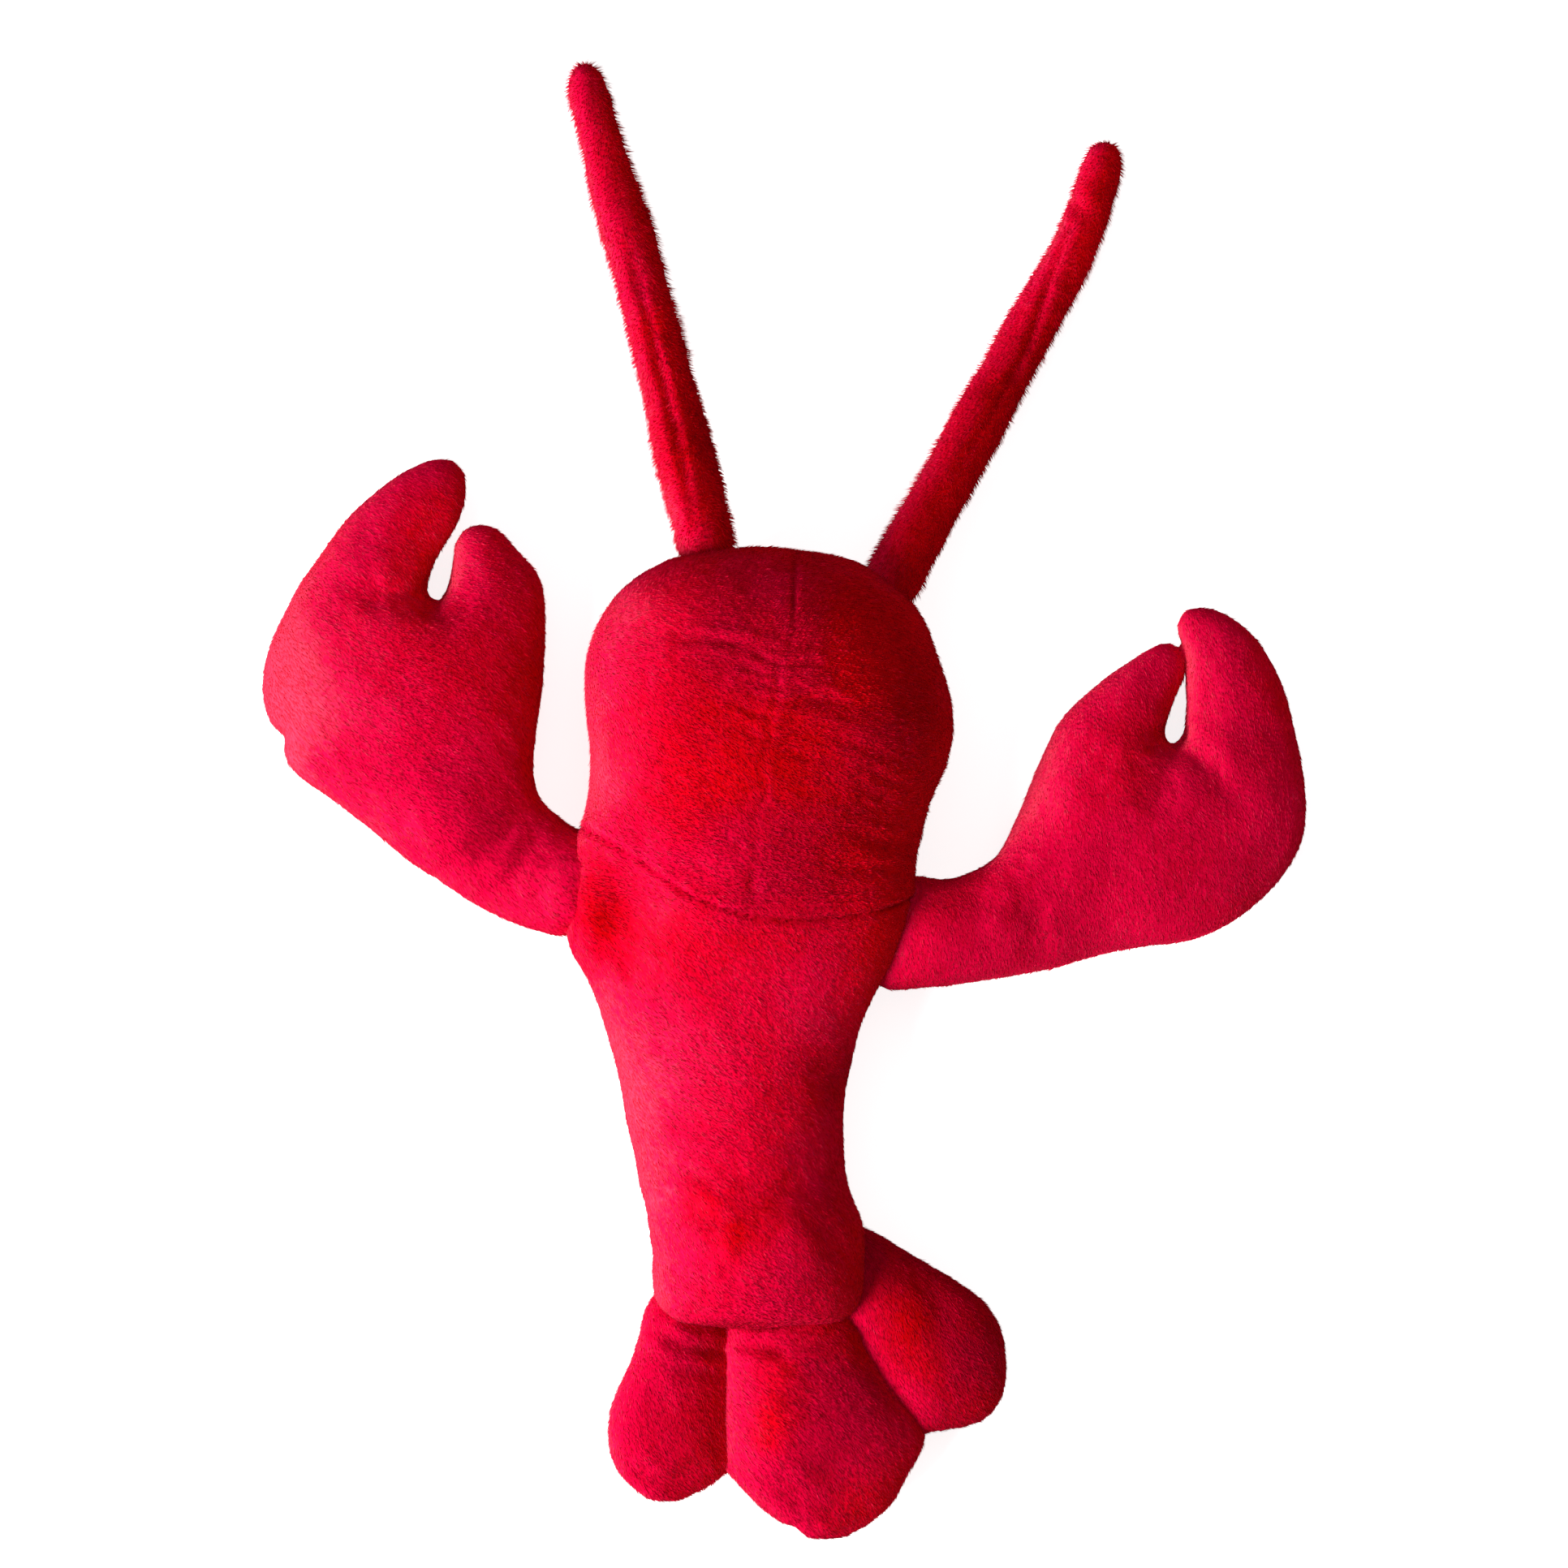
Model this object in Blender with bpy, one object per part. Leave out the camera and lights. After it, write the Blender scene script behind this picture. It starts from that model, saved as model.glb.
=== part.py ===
"""A plush lobster dog toy, made of sewn and stuffed pouches that meet at their seams.

Metres, +Z up. The toy lies on its belly on the plane Z = 0, with its back up and its head
towards +Y. X = 0 runs down the middle of the toy, and -X is the lobster's own left.
The origin is on the belly's flat rest, under the abdomen.

The torso is lofted from round sections. Claws and tail lobes are flat patterns, two panels
sewn along one outline, and their stuffing lifts both panels away from the seam. Antennae
are narrow tubes. Each pouch is cut by the one that it is sewn to, so that it seats on it.
"""

import math
from typing import NamedTuple

import bmesh
import bpy
import numpy as np
from mathutils import Vector
from mathutils.geometry import delaunay_2d_cdt

# Clearance and rest
SEAM_GAP = 0.0003  # between two pouches that are sewn together
SETTLE = 0.0018  # how far the stuffing flattens where a pouch rests on the ground

# Torso: distances along it are measured from the front of the head, towards the tail
TORSO_LENGTH = 0.2418
ORIGIN_ALONG = 0.1315  # where the origin lies along the torso
HEAD_WIDTH = 0.1115
HEAD_HEIGHT = 0.078
HEAD_CAP = 0.046  # length of the rounded front of the head
HEAD_CAP_POWER = 2.3
SHOULDER_WIDTH = 0.1048
SHOULDER_HEIGHT = 0.066
WAIST_WIDTH = 0.063
WAIST_HEIGHT = 0.050
RUMP_WIDTH = 0.0652
RUMP_HEIGHT = 0.053
RUMP_CAP = 0.016  # length of the rounded corners over the tail lobes, in plan
RUMP_FALL = 0.025  # length over which the back comes down to the end seam
RUMP_CAP_POWER = 2.6
SECTION_POWER = 2.15  # 2 is an ellipse, and a larger power is squarer

# Carapace seam: a parabola across the back, between the carapace and the abdomen
CARAPACE_LENGTH = 0.1145  # from the front of the head to the seam's rearmost point
CARAPACE_SEAM_SIDE = 0.015  # that point's distance to the right of the middle
CARAPACE_SEAM_CURVE = 6.97  # metres forward for each square metre sideways

# Claws: the places of their arms along the torso
LEFT_ARM_ALONG = 0.104
RIGHT_ARM_ALONG = 0.1175
CLAW_FULLNESS = 0.036  # the half thickness that a very wide claw would swell to
CLAW_MIDDLE = 0.0185  # height of the claw's seam above the ground
ARM_MIDDLE = 0.027  # height of the arm's seam where it meets the torso
ARM_SLOPE = 0.060  # distance over which the seam comes down

# Antennae: the places of their roots on the rim of the head
ANTENNA_ROOT_RADIUS = 0.0092
ANTENNA_TIP_RADIUS = 0.0066
ANTENNA_TIP_CAP = 0.009
ANTENNA_ROOT_MIDDLE = 0.034  # height of the root's middle above the ground
LEFT_ANTENNA_SIDE = -0.0168
RIGHT_ANTENNA_SIDE = 0.0392
ANTENNA_SUNK = 0.012  # how far the loft starts inside the head, before it is cut

# Tail lobes
LOBE_FULLNESS = 0.030
LOBE_MIDDLE = 0.0158

# Mesh density
TORSO_RING_POINTS = 44
TORSO_RINGS = 30
ANTENNA_RING_POINTS = 14
ANTENNA_RINGS = 22
OUTLINE_STEP = 0.0050
PANEL_STEP = 0.0072
RIM_INSETS = (0.0011, 0.0038)

# Finish
PLUSH_RED = (0.66, 0.004, 0.026, 1.0)
PLUSH_ROUGHNESS = 0.95

# The left claw's pattern, from the middle of its arm's root on the side of the torso:
# up the inner edge to the short finger, round the notch and down the outer edge.
LEFT_CLAW_PATTERN = (
    (0.0090, 0.0150), (-0.0003, 0.0168), (-0.0068, 0.0218), (-0.0112, 0.0290),
    (-0.0122, 0.0400), (-0.0098, 0.0600), (-0.0088, 0.0760), (-0.0100, 0.0930),
    (-0.0175, 0.1055), (-0.0262, 0.1110), (-0.0338, 0.1098), (-0.0368, 0.1052),
    (-0.0378, 0.0970), (-0.0400, 0.0895), (-0.0430, 0.0868), (-0.0448, 0.0908),
    (-0.0424, 0.0995), (-0.0355, 0.1118), (-0.0330, 0.1220), (-0.0350, 0.1298),
    (-0.0430, 0.1320), (-0.0545, 0.1268), (-0.0700, 0.1135), (-0.0850, 0.0925),
    (-0.0940, 0.0745), (-0.0965, 0.0610), (-0.0945, 0.0510), (-0.0898, 0.0445),
    (-0.0878, 0.0385), (-0.0800, 0.0300), (-0.0670, 0.0200), (-0.0415, 0.0003),
    (-0.0200, -0.0108), (-0.0038, -0.0158), (0.0100, -0.0185),
)

# The right claw's pattern, laid out in the same way. Its fingers close until they touch.
RIGHT_CLAW_PATTERN = (
    (-0.0100, 0.0140), (0.0030, 0.0165), (0.0120, 0.0157), (0.0215, 0.0187),
    (0.0280, 0.0232), (0.0330, 0.0338), (0.0400, 0.0505), (0.0475, 0.0650),
    (0.0580, 0.0755), (0.0700, 0.0838), (0.0790, 0.0882), (0.0840, 0.0865),
    (0.0848, 0.0800), (0.0832, 0.0735), (0.0806, 0.0662), (0.0793, 0.0598),
    (0.0812, 0.0562), (0.0846, 0.0592), (0.0858, 0.0670), (0.0862, 0.0760),
    (0.0862, 0.0830), (0.0836, 0.0910), (0.0846, 0.0972), (0.0905, 0.0990),
    (0.0985, 0.0965), (0.1085, 0.0885), (0.1165, 0.0715), (0.1212, 0.0535),
    (0.1228, 0.0375), (0.1205, 0.0240), (0.1130, 0.0130), (0.1000, 0.0018),
    (0.0870, -0.0040), (0.0680, -0.0065), (0.0480, -0.0120), (0.0280, -0.0158),
    (0.0080, -0.0183), (-0.0120, -0.0170),
)

# The tail lobes' patterns, from the middle of the torso's rear end.
CENTRE_LOBE_PATTERN = (
    (-0.0100, 0.0120), (0.0260, 0.0130), (0.0320, -0.0010), (0.0400, -0.0150),
    (0.0520, -0.0318), (0.0475, -0.0425), (0.0400, -0.0555), (0.0300, -0.0630),
    (0.0195, -0.0655), (0.0085, -0.0610), (-0.0045, -0.0500), (-0.0108, -0.0400),
    (-0.0112, -0.0200), (-0.0110, -0.0040),
)
LEFT_LOBE_PATTERN = (
    (-0.0130, 0.0110), (-0.0280, 0.0160), (-0.0350, 0.0080), (-0.0368, 0.0010),
    (-0.0400, -0.0100), (-0.0455, -0.0210), (-0.0473, -0.0340), (-0.0420, -0.0470),
    (-0.0305, -0.0530), (-0.0190, -0.0495), (-0.0098, -0.0435), (-0.0088, -0.0300),
    (-0.0090, -0.0100),
)
RIGHT_LOBE_PATTERN = (
    (0.0190, 0.0240), (0.0290, 0.0345), (0.0450, 0.0255), (0.0615, 0.0150),
    (0.0728, 0.0045), (0.0766, -0.0110), (0.0735, -0.0235), (0.0645, -0.0300),
    (0.0522, -0.0320), (0.0420, -0.0210), (0.0310, -0.0040), (0.0240, 0.0080),
)


class Girth(NamedTuple):
    """The torso's section at one landmark."""

    along: float
    width: float
    height: float
    sideways: float


TORSO_GIRTHS = (
    Girth(0.012, 0.1105, HEAD_HEIGHT, -0.0010),
    Girth(0.033, 0.1092, HEAD_HEIGHT, 0.0002),
    Girth(0.050, HEAD_WIDTH, HEAD_HEIGHT, 0.0022),
    Girth(0.060, 0.1102, 0.0770, 0.0028),
    Girth(0.080, 0.1032, 0.0725, -0.0016),
    Girth(0.096, 0.1040, 0.0690, -0.0052),
    Girth(0.110, SHOULDER_WIDTH, SHOULDER_HEIGHT, -0.0062),
    Girth(0.1265, 0.0958, 0.0600, -0.0066),
    Girth(0.1415, 0.0820, 0.0555, -0.0090),
    Girth(0.1565, 0.0725, 0.0520, -0.0092),
    Girth(0.1720, 0.0667, WAIST_HEIGHT, -0.0086),
    Girth(0.1940, WAIST_WIDTH, 0.0495, -0.0062),
    Girth(0.2100, RUMP_WIDTH, RUMP_HEIGHT, -0.0014),
    Girth(0.2240, 0.0640, RUMP_HEIGHT, -0.0012),
)


class Bead(NamedTuple):
    """A point on an antenna's middle line: out from its root, sideways and up."""

    out: float
    sideways: float
    height: float


LEFT_ANTENNA_LINE = (
    Bead(-ANTENNA_SUNK, 0.0030, ANTENNA_ROOT_MIDDLE),
    Bead(0.000, 0.0000, ANTENNA_ROOT_MIDDLE),
    Bead(0.022, -0.0053, 0.0265),
    Bead(0.050, -0.0123, 0.0165),
    Bead(0.080, -0.0200, 0.0095),
    Bead(0.115, -0.0300, 0.0074),
    Bead(0.151, -0.0398, 0.0062),
)
RIGHT_ANTENNA_LINE = (
    Bead(-ANTENNA_SUNK, -0.0058, ANTENNA_ROOT_MIDDLE),
    Bead(0.000, 0.0000, ANTENNA_ROOT_MIDDLE),
    Bead(0.022, 0.0120, 0.0275),
    Bead(0.046, 0.0252, 0.0180),
    Bead(0.076, 0.0415, 0.0098),
    Bead(0.106, 0.0576, 0.0074),
    Bead(0.1375, 0.0688, 0.0062),
)


def clear_scene():
    """Removes whatever the scene holds."""
    for obj in list(bpy.data.objects):
        bpy.data.objects.remove(obj, do_unlink=True)


def plush():
    """The one cloth that every pouch is cut from."""
    material = bpy.data.materials.new("red_plush")
    material.use_nodes = True
    shader = material.node_tree.nodes["Principled BSDF"]
    shader.inputs["Base Color"].default_value = PLUSH_RED
    shader.inputs["Roughness"].default_value = PLUSH_ROUGHNESS
    shader.inputs["Metallic"].default_value = 0.0
    return material


def smooth_through(places, values, at, level_ends):
    """A cubic through the values at these places, which stops at both ends."""
    places = np.asarray(places, float)
    values = np.asarray(values, float)
    slopes = np.gradient(values, places)
    if level_ends:
        slopes[0] = slopes[-1] = 0.0
    at = np.clip(at, places[0], places[-1])
    left = np.clip(np.searchsorted(places, at) - 1, 0, len(places) - 2)
    span = places[left + 1] - places[left]
    t = (at - places[left]) / span
    return (
        (1 + 2 * t) * (1 - t) ** 2 * values[left]
        + t * (1 - t) ** 2 * span * slopes[left]
        + t * t * (3 - 2 * t) * values[left + 1]
        + t * t * (t - 1) * span * slopes[left + 1]
    )


def cap_share(distance, length, power):
    """How wide a rounded end is at this distance from its tip, as a share of full width."""
    reach = np.clip(1 - distance / length, 0, 1)
    return (1 - reach**power) ** (1 / power)


def torso_section(along):
    """Half width, half height, sideways middle and height of the middle at a distance."""
    places = [girth.along for girth in TORSO_GIRTHS]
    width, height, sideways = (
        smooth_through(places, [girth[field] for girth in TORSO_GIRTHS], along, True)
        for field in (1, 2, 3)
    )
    middle = height / 2 - SETTLE
    wide = cap_share(along, HEAD_CAP, HEAD_CAP_POWER)
    wide *= cap_share(TORSO_LENGTH - along, RUMP_CAP, RUMP_CAP_POWER)
    tall = cap_share(along, HEAD_CAP, 2.0)
    tall *= cap_share(TORSO_LENGTH - along, RUMP_FALL, RUMP_CAP_POWER)
    return width / 2 * wide, height / 2 * tall, sideways, middle


def y_of(along):
    """Y at a distance from the front of the head."""
    return ORIGIN_ALONG - along


def torso_side(along, side):
    """The point in plan on the torso's outline, at side -1 for its left or 1 for its right."""
    half_width, _, sideways, _ = torso_section(along)
    return Vector((sideways + side * half_width, y_of(along)))


def head_rim(sideways):
    """The point in plan on the front of the head at this distance from the middle line."""
    front = np.linspace(0.0, HEAD_CAP, 400)
    half_width, _, middle, _ = torso_section(front)
    reached = np.abs(sideways - middle) <= half_width
    return Vector((sideways, y_of(front[np.argmax(reached)])))


def torso_end():
    """The point in plan in the middle of the torso's rear end."""
    return Vector((TORSO_GIRTHS[-1].sideways, y_of(TORSO_LENGTH)))


def power_circle(count, power):
    """Points of a superellipse of unit half width and half height."""
    angles = np.arange(count) * 2 * math.pi / count
    return [
        tuple(math.copysign(abs(v) ** (2 / power), v) for v in (math.cos(a), math.sin(a)))
        for a in angles
    ]


def add_object(name, mesh_data, material):
    """An object in the scene from a finished bmesh."""
    bmesh.ops.recalc_face_normals(mesh_data, faces=mesh_data.faces)
    mesh = bpy.data.meshes.new(name)
    mesh_data.to_mesh(mesh)
    mesh_data.free()
    mesh.shade_smooth()
    mesh.materials.append(material)
    obj = bpy.data.objects.new(name, mesh)
    bpy.context.scene.collection.objects.link(obj)
    return obj


def loft(name, rings, first_tip, last_tip, material):
    """A closed skin through rings of equal length, with a point at each end."""
    skin = bmesh.new()
    loops = [[skin.verts.new(point) for point in ring] for ring in rings]
    for near, far in zip(loops, loops[1:]):
        for i, vertex in enumerate(near):
            following = (i + 1) % len(near)
            skin.faces.new((vertex, near[following], far[following], far[i]))
    for tip_point, ring in ((first_tip, loops[0]), (last_tip, loops[-1])):
        tip = skin.verts.new(tip_point)
        for i, vertex in enumerate(ring):
            skin.faces.new((tip, vertex, ring[(i + 1) % len(ring)]))
    return add_object(name, skin, material)


def grounded(point):
    """The point, lifted to the ground if it lies below."""
    return Vector((point[0], point[1], max(point[2], 0.0)))


def torso(name, material):
    """The head and the abdomen in one, before the carapace seam divides them."""
    turn = np.linspace(0.0, math.pi, TORSO_RINGS + 2)[1:-1]
    even = turn / math.pi
    rounded = (1 - np.cos(turn)) / 2
    circle = power_circle(TORSO_RING_POINTS, SECTION_POWER)
    rings = []
    for along in TORSO_LENGTH * (even + rounded) / 2:
        half_width, half_height, sideways, middle = torso_section(along)
        rings.append([
            grounded((sideways + half_width * x, y_of(along), middle + half_height * z))
            for x, z in circle
        ])
    tips = []
    for along in (0.0, TORSO_LENGTH):
        _, _, sideways, middle = torso_section(along)
        tips.append(Vector((sideways, y_of(along), middle)))
    return loft(name, rings, *tips, material)


def carapace_seam(behind):
    """The seam's line in plan, moved this far towards the tail, from left to right."""
    reach = HEAD_WIDTH
    line = []
    for x in np.linspace(-reach, reach, 41):
        off_side = x - CARAPACE_SEAM_SIDE
        along = CARAPACE_LENGTH - CARAPACE_SEAM_CURVE * off_side**2
        lean = math.hypot(1.0, 2 * CARAPACE_SEAM_CURVE * off_side)
        line.append((x, y_of(along + behind * lean)))
    return line


def seam_cutter(name, behind, end_along, material):
    """A block that covers one side of the carapace seam, as far as end_along."""
    top = 2 * HEAD_HEIGHT
    line = carapace_seam(behind)
    end_y = y_of(end_along)
    outline = [*line, (line[-1][0], end_y), (line[0][0], end_y)]
    block = bmesh.new()
    face = block.faces.new([block.verts.new((x, y, -top)) for x, y in outline])
    raised = bmesh.ops.extrude_face_region(block, geom=[face])["geom"]
    lifted = [item for item in raised if isinstance(item, bmesh.types.BMVert)]
    bmesh.ops.translate(block, verts=lifted, vec=(0, 0, 2 * top))
    return as_cutter(add_object(name, block, material))


def as_cutter(obj):
    """Keeps an object out of the finished toy."""
    obj.hide_render = True
    obj.display_type = "WIRE"
    return obj


def grown(obj, name, by):
    """A copy of the object that is larger by this much all round, for cutting its seat."""
    mesh = obj.data.copy()
    for vertex, normal in zip(mesh.vertices, [v.normal.copy() for v in mesh.vertices]):
        vertex.co += normal * by
    cutter = bpy.data.objects.new(name, mesh)
    bpy.context.scene.collection.objects.link(cutter)
    return as_cutter(cutter)


def cut_by(obj, *cutters):
    """Cuts each cutter's shape out of the object."""
    for cutter in cutters:
        cut = obj.modifiers.new("seat_on_" + cutter.name, "BOOLEAN")
        cut.operation = "DIFFERENCE"
        cut.object = cutter
    return obj


def smooth_outline(pattern, anchor):
    """A closed curve through the pattern's points, placed on its anchor, in even steps."""
    points = [Vector(point) + anchor for point in pattern]
    count = len(points)
    dense = []
    for i in range(count):
        a, b, c, d = (points[(i + k) % count] for k in (-1, 0, 1, 2))
        for t in np.arange(12) / 12:
            dense.append(
                0.5 * (2 * b + (c - a) * t + (2 * a - 5 * b + 4 * c - d) * t * t
                       + (3 * b - a - 3 * c + d) * t**3)
            )
    steps = [(q - p).length for p, q in zip(dense, dense[1:] + dense[:1])]
    travelled = np.concatenate([[0.0], np.cumsum(steps)])
    number = round(travelled[-1] / OUTLINE_STEP)
    stops = np.arange(number) * travelled[-1] / number
    closed = dense + dense[:1]
    return [
        Vector((np.interp(s, travelled, [p.x for p in closed]),
                np.interp(s, travelled, [p.y for p in closed])))
        for s in stops
    ]


def room_to(outline, points):
    """Each point's distance to the outline, below zero outside it."""
    start = np.array([tuple(p) for p in outline])
    end = np.roll(start, -1, axis=0)
    edge = end - start
    away = points[:, None] - start
    share = (away * edge).sum(2) / (edge**2).sum(1)
    nearest = start + np.clip(share, 0, 1)[..., None] * edge
    distance = np.linalg.norm(points[:, None] - nearest, axis=2).min(1)
    above = (start[:, 1] > points[:, 1:]) != (end[:, 1] > points[:, 1:])
    rise = np.where(edge[:, 1] == 0, 1.0, edge[:, 1])
    crossing = start[:, 0] + (points[:, 1:] - start[:, 1]) / rise * edge[:, 0]
    inside = (above & (points[:, :1] < crossing)).sum(1) % 2 == 1
    return np.where(inside, distance, -distance)


def panel_points(outline):
    """Points inside the outline: rows close to its rim, then an even triangular grid."""
    edge = np.array([tuple(p) for p in outline])
    tangent = np.roll(edge, -1, axis=0) - np.roll(edge, 1, axis=0)
    inward = np.stack([-tangent[:, 1], tangent[:, 0]], axis=1)
    inward /= np.linalg.norm(inward, axis=1)[:, None]
    if room_to(outline, edge + inward * RIM_INSETS[0]).mean() < 0:
        inward = -inward
    kept = [edge[:0]]
    for inset in RIM_INSETS:
        row = edge + inward * inset
        kept.append(row[room_to(outline, row) > 0.85 * inset])
    low, high = edge.min(0), edge.max(0)
    pitch = PANEL_STEP * math.sqrt(3) / 2
    grid = np.array([
        (x + (row % 2) * PANEL_STEP / 2, low[1] + row * pitch)
        for row in range(math.ceil((high[1] - low[1]) / pitch))
        for x in np.arange(low[0], high[0], PANEL_STEP)
    ])
    clear_of_rows = RIM_INSETS[-1] + 0.45 * PANEL_STEP
    kept.append(grid[room_to(outline, grid) > clear_of_rows])
    return np.concatenate(kept)


def swelling(points, triangles, rim_count):
    """How far stuffing lifts each point, before the cloth's limit: a soap film's height.

    The film's height is zero along the rim. Its square root is the half width of a round
    tube wherever the panel is a long strip, so arms and fingers come out round.
    """
    corners = points[triangles]
    size = len(points)
    stiffness = np.zeros((size, size))
    load = np.zeros(size)
    for k in range(3):
        opposite, a, b = (corners[:, (k + j) % 3] for j in range(3))
        one, two = a - opposite, b - opposite
        area = np.abs(one[:, 0] * two[:, 1] - one[:, 1] * two[:, 0])
        weight = (one * two).sum(1) / area / 2
        i, j = triangles[:, (k + 1) % 3], triangles[:, (k + 2) % 3]
        np.add.at(stiffness, (i, j), -weight)
        np.add.at(stiffness, (j, i), -weight)
        np.add.at(stiffness, (i, i), weight)
        np.add.at(stiffness, (j, j), weight)
        np.add.at(load, triangles[:, k], area / 6)
    film = np.zeros(size)
    free = slice(rim_count, size)
    film[free] = np.linalg.solve(stiffness[free, free], load[free])
    return np.sqrt(2 * np.clip(film, 0, None))


def pouch(name, pattern, anchor, fullness, middle_at, material):
    """Two panels sewn along one outline and stuffed, flat where they rest on the ground."""
    outline = smooth_outline(pattern, anchor)
    inner = panel_points(outline)
    given = [*outline, *(Vector(tuple(p)) for p in inner)]
    rim_count = len(outline)
    rim_edges = [(i, (i + 1) % rim_count) for i in range(rim_count)]
    flat, _, faces, _, _, _ = delaunay_2d_cdt(given, rim_edges, [], 1, 1e-7)
    points = np.array([tuple(p) for p in flat])
    triangles = np.array(faces)
    swell = swelling(points, triangles, rim_count)
    lift = fullness * (1 - np.exp(-swell / fullness))
    middle = np.array([middle_at(Vector(tuple(p))) for p in points])
    skin = bmesh.new()
    top = [skin.verts.new((*p, m + h)) for p, m, h in zip(points, middle, lift)]
    under = top[:rim_count] + [
        skin.verts.new(grounded((*p, m - h)))
        for p, m, h in zip(points[rim_count:], middle[rim_count:], lift[rim_count:])
    ]
    for a, b, c in triangles:
        skin.faces.new((top[a], top[b], top[c]))
        skin.faces.new((under[c], under[b], under[a]))
    return add_object(name, skin, material)


def arm_height(anchor):
    """Height of a claw's seam: it comes down from the torso's side to the claw's own."""
    def at(point):
        away = min((point - anchor).length / ARM_SLOPE, 1.0)
        eased = away * away * (3 - 2 * away)
        return ARM_MIDDLE + (CLAW_MIDDLE - ARM_MIDDLE) * eased
    return at


def claw(name, pattern, arm_along, side, material):
    """One claw with its arm, from the pattern laid out from the side of the torso."""
    anchor = torso_side(arm_along, side)
    return pouch(name, pattern, anchor, CLAW_FULLNESS, arm_height(anchor), material)


def tail_lobe(name, pattern, material):
    """One lobe of the tail fan."""
    return pouch(
        name, pattern, torso_end(), LOBE_FULLNESS, lambda point: LOBE_MIDDLE, material
    )


def antenna(name, line, root_side, material):
    """A stuffed tube that leaves the rim of the head and comes down to the ground."""
    root = head_rim(root_side)
    beads = np.array([
        (root.x + bead.sideways, root.y + bead.out, bead.height) for bead in line
    ])
    spans = np.linalg.norm(np.diff(beads, axis=0), axis=1)
    places = np.concatenate([[0.0], np.cumsum(spans)])
    length = places[-1]
    even = np.linspace(0.0, 1.0, ANTENNA_RINGS + 1)[:-1]
    stops = length * (0.7 * np.sin(even * math.pi / 2) + 0.3 * even)

    def centre(at):
        return Vector([smooth_through(places, beads[:, k], at, False) for k in range(3)])

    circle = power_circle(ANTENNA_RING_POINTS, 2.0)
    rings = []
    for at in stops:
        ahead = (centre(min(at + 1e-3, length)) - centre(max(at - 1e-3, 0.0))).normalized()
        across = ahead.cross(Vector((0, 0, 1))).normalized()
        upward = across.cross(ahead)
        share = at / length
        radius = ANTENNA_ROOT_RADIUS + (ANTENNA_TIP_RADIUS - ANTENNA_ROOT_RADIUS) * share**2
        radius *= float(cap_share(length - at, ANTENNA_TIP_CAP, 2.0))
        rings.append([
            grounded(centre(at) + across * radius * x + upward * radius * z)
            for x, z in circle
        ])
    return loft(name, rings, centre(0.0), centre(length), material)


def main():
    clear_scene()
    red = plush()
    half_gap = SEAM_GAP / 2
    carapace = torso("carapace", red)
    abdomen = torso("abdomen", red)
    seat = grown(carapace, "torso_seat", SEAM_GAP)
    behind = seam_cutter("behind_carapace", -half_gap, 2 * TORSO_LENGTH, red)
    ahead = seam_cutter("ahead_of_abdomen", half_gap, -TORSO_LENGTH, red)
    cut_by(carapace, behind)
    cut_by(abdomen, ahead)
    cut_by(claw("left_claw", LEFT_CLAW_PATTERN, LEFT_ARM_ALONG, -1, red), seat)
    cut_by(claw("right_claw", RIGHT_CLAW_PATTERN, RIGHT_ARM_ALONG, 1, red), seat)
    cut_by(antenna("left_antenna", LEFT_ANTENNA_LINE, LEFT_ANTENNA_SIDE, red), seat)
    cut_by(antenna("right_antenna", RIGHT_ANTENNA_LINE, RIGHT_ANTENNA_SIDE, red), seat)
    left_lobe = cut_by(tail_lobe("left_tail_lobe", LEFT_LOBE_PATTERN, red), seat)
    right_lobe = cut_by(tail_lobe("right_tail_lobe", RIGHT_LOBE_PATTERN, red), seat)
    lobe_seats = [
        grown(lobe, lobe.name + "_seat", SEAM_GAP) for lobe in (left_lobe, right_lobe)
    ]
    centre_lobe = tail_lobe("centre_tail_lobe", CENTRE_LOBE_PATTERN, red)
    cut_by(centre_lobe, seat, *lobe_seats)


main()
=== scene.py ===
import math
from typing import NamedTuple

import bmesh
import bpy
import numpy as np
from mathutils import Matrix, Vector
from mathutils.bvhtree import BVHTree
from mathutils.kdtree import KDTree


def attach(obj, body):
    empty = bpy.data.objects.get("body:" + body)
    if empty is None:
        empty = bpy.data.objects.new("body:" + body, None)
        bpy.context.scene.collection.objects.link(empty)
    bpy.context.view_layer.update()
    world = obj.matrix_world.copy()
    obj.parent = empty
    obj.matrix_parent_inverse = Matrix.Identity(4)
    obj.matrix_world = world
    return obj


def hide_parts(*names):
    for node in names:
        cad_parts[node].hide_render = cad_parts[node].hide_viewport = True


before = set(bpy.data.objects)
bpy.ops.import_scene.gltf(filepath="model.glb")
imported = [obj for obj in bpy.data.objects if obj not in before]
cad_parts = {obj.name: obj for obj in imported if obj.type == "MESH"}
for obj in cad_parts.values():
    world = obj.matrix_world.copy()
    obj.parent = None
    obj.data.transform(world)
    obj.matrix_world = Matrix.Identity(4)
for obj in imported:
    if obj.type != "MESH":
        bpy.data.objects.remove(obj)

# Lengths are in metres, and plan points along seams and creases are (x, y) in millimetres.
MM = 0.001

# Creases, in millimetres, or in a crease's half widths where that is said
LINE_STEP = 0.6  # between the points that a crease's line is made of
CREASE_REACH = 4  # half widths
CREASE_WAVERS = 0.5  # half widths
ENDS_FADE = 2.5  # half widths
LIPS_AT = 2.1  # half widths
STITCHES = 0.25  # the part of a seam's depth that its stitches change
STITCHES_VARY = 0.20
STEP_REACH = 9
STEP_FADES = 5.0
UPWARD = (2.0, 0.35)  # creases fade in as the normal's upward part times the first, plus the other

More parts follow.
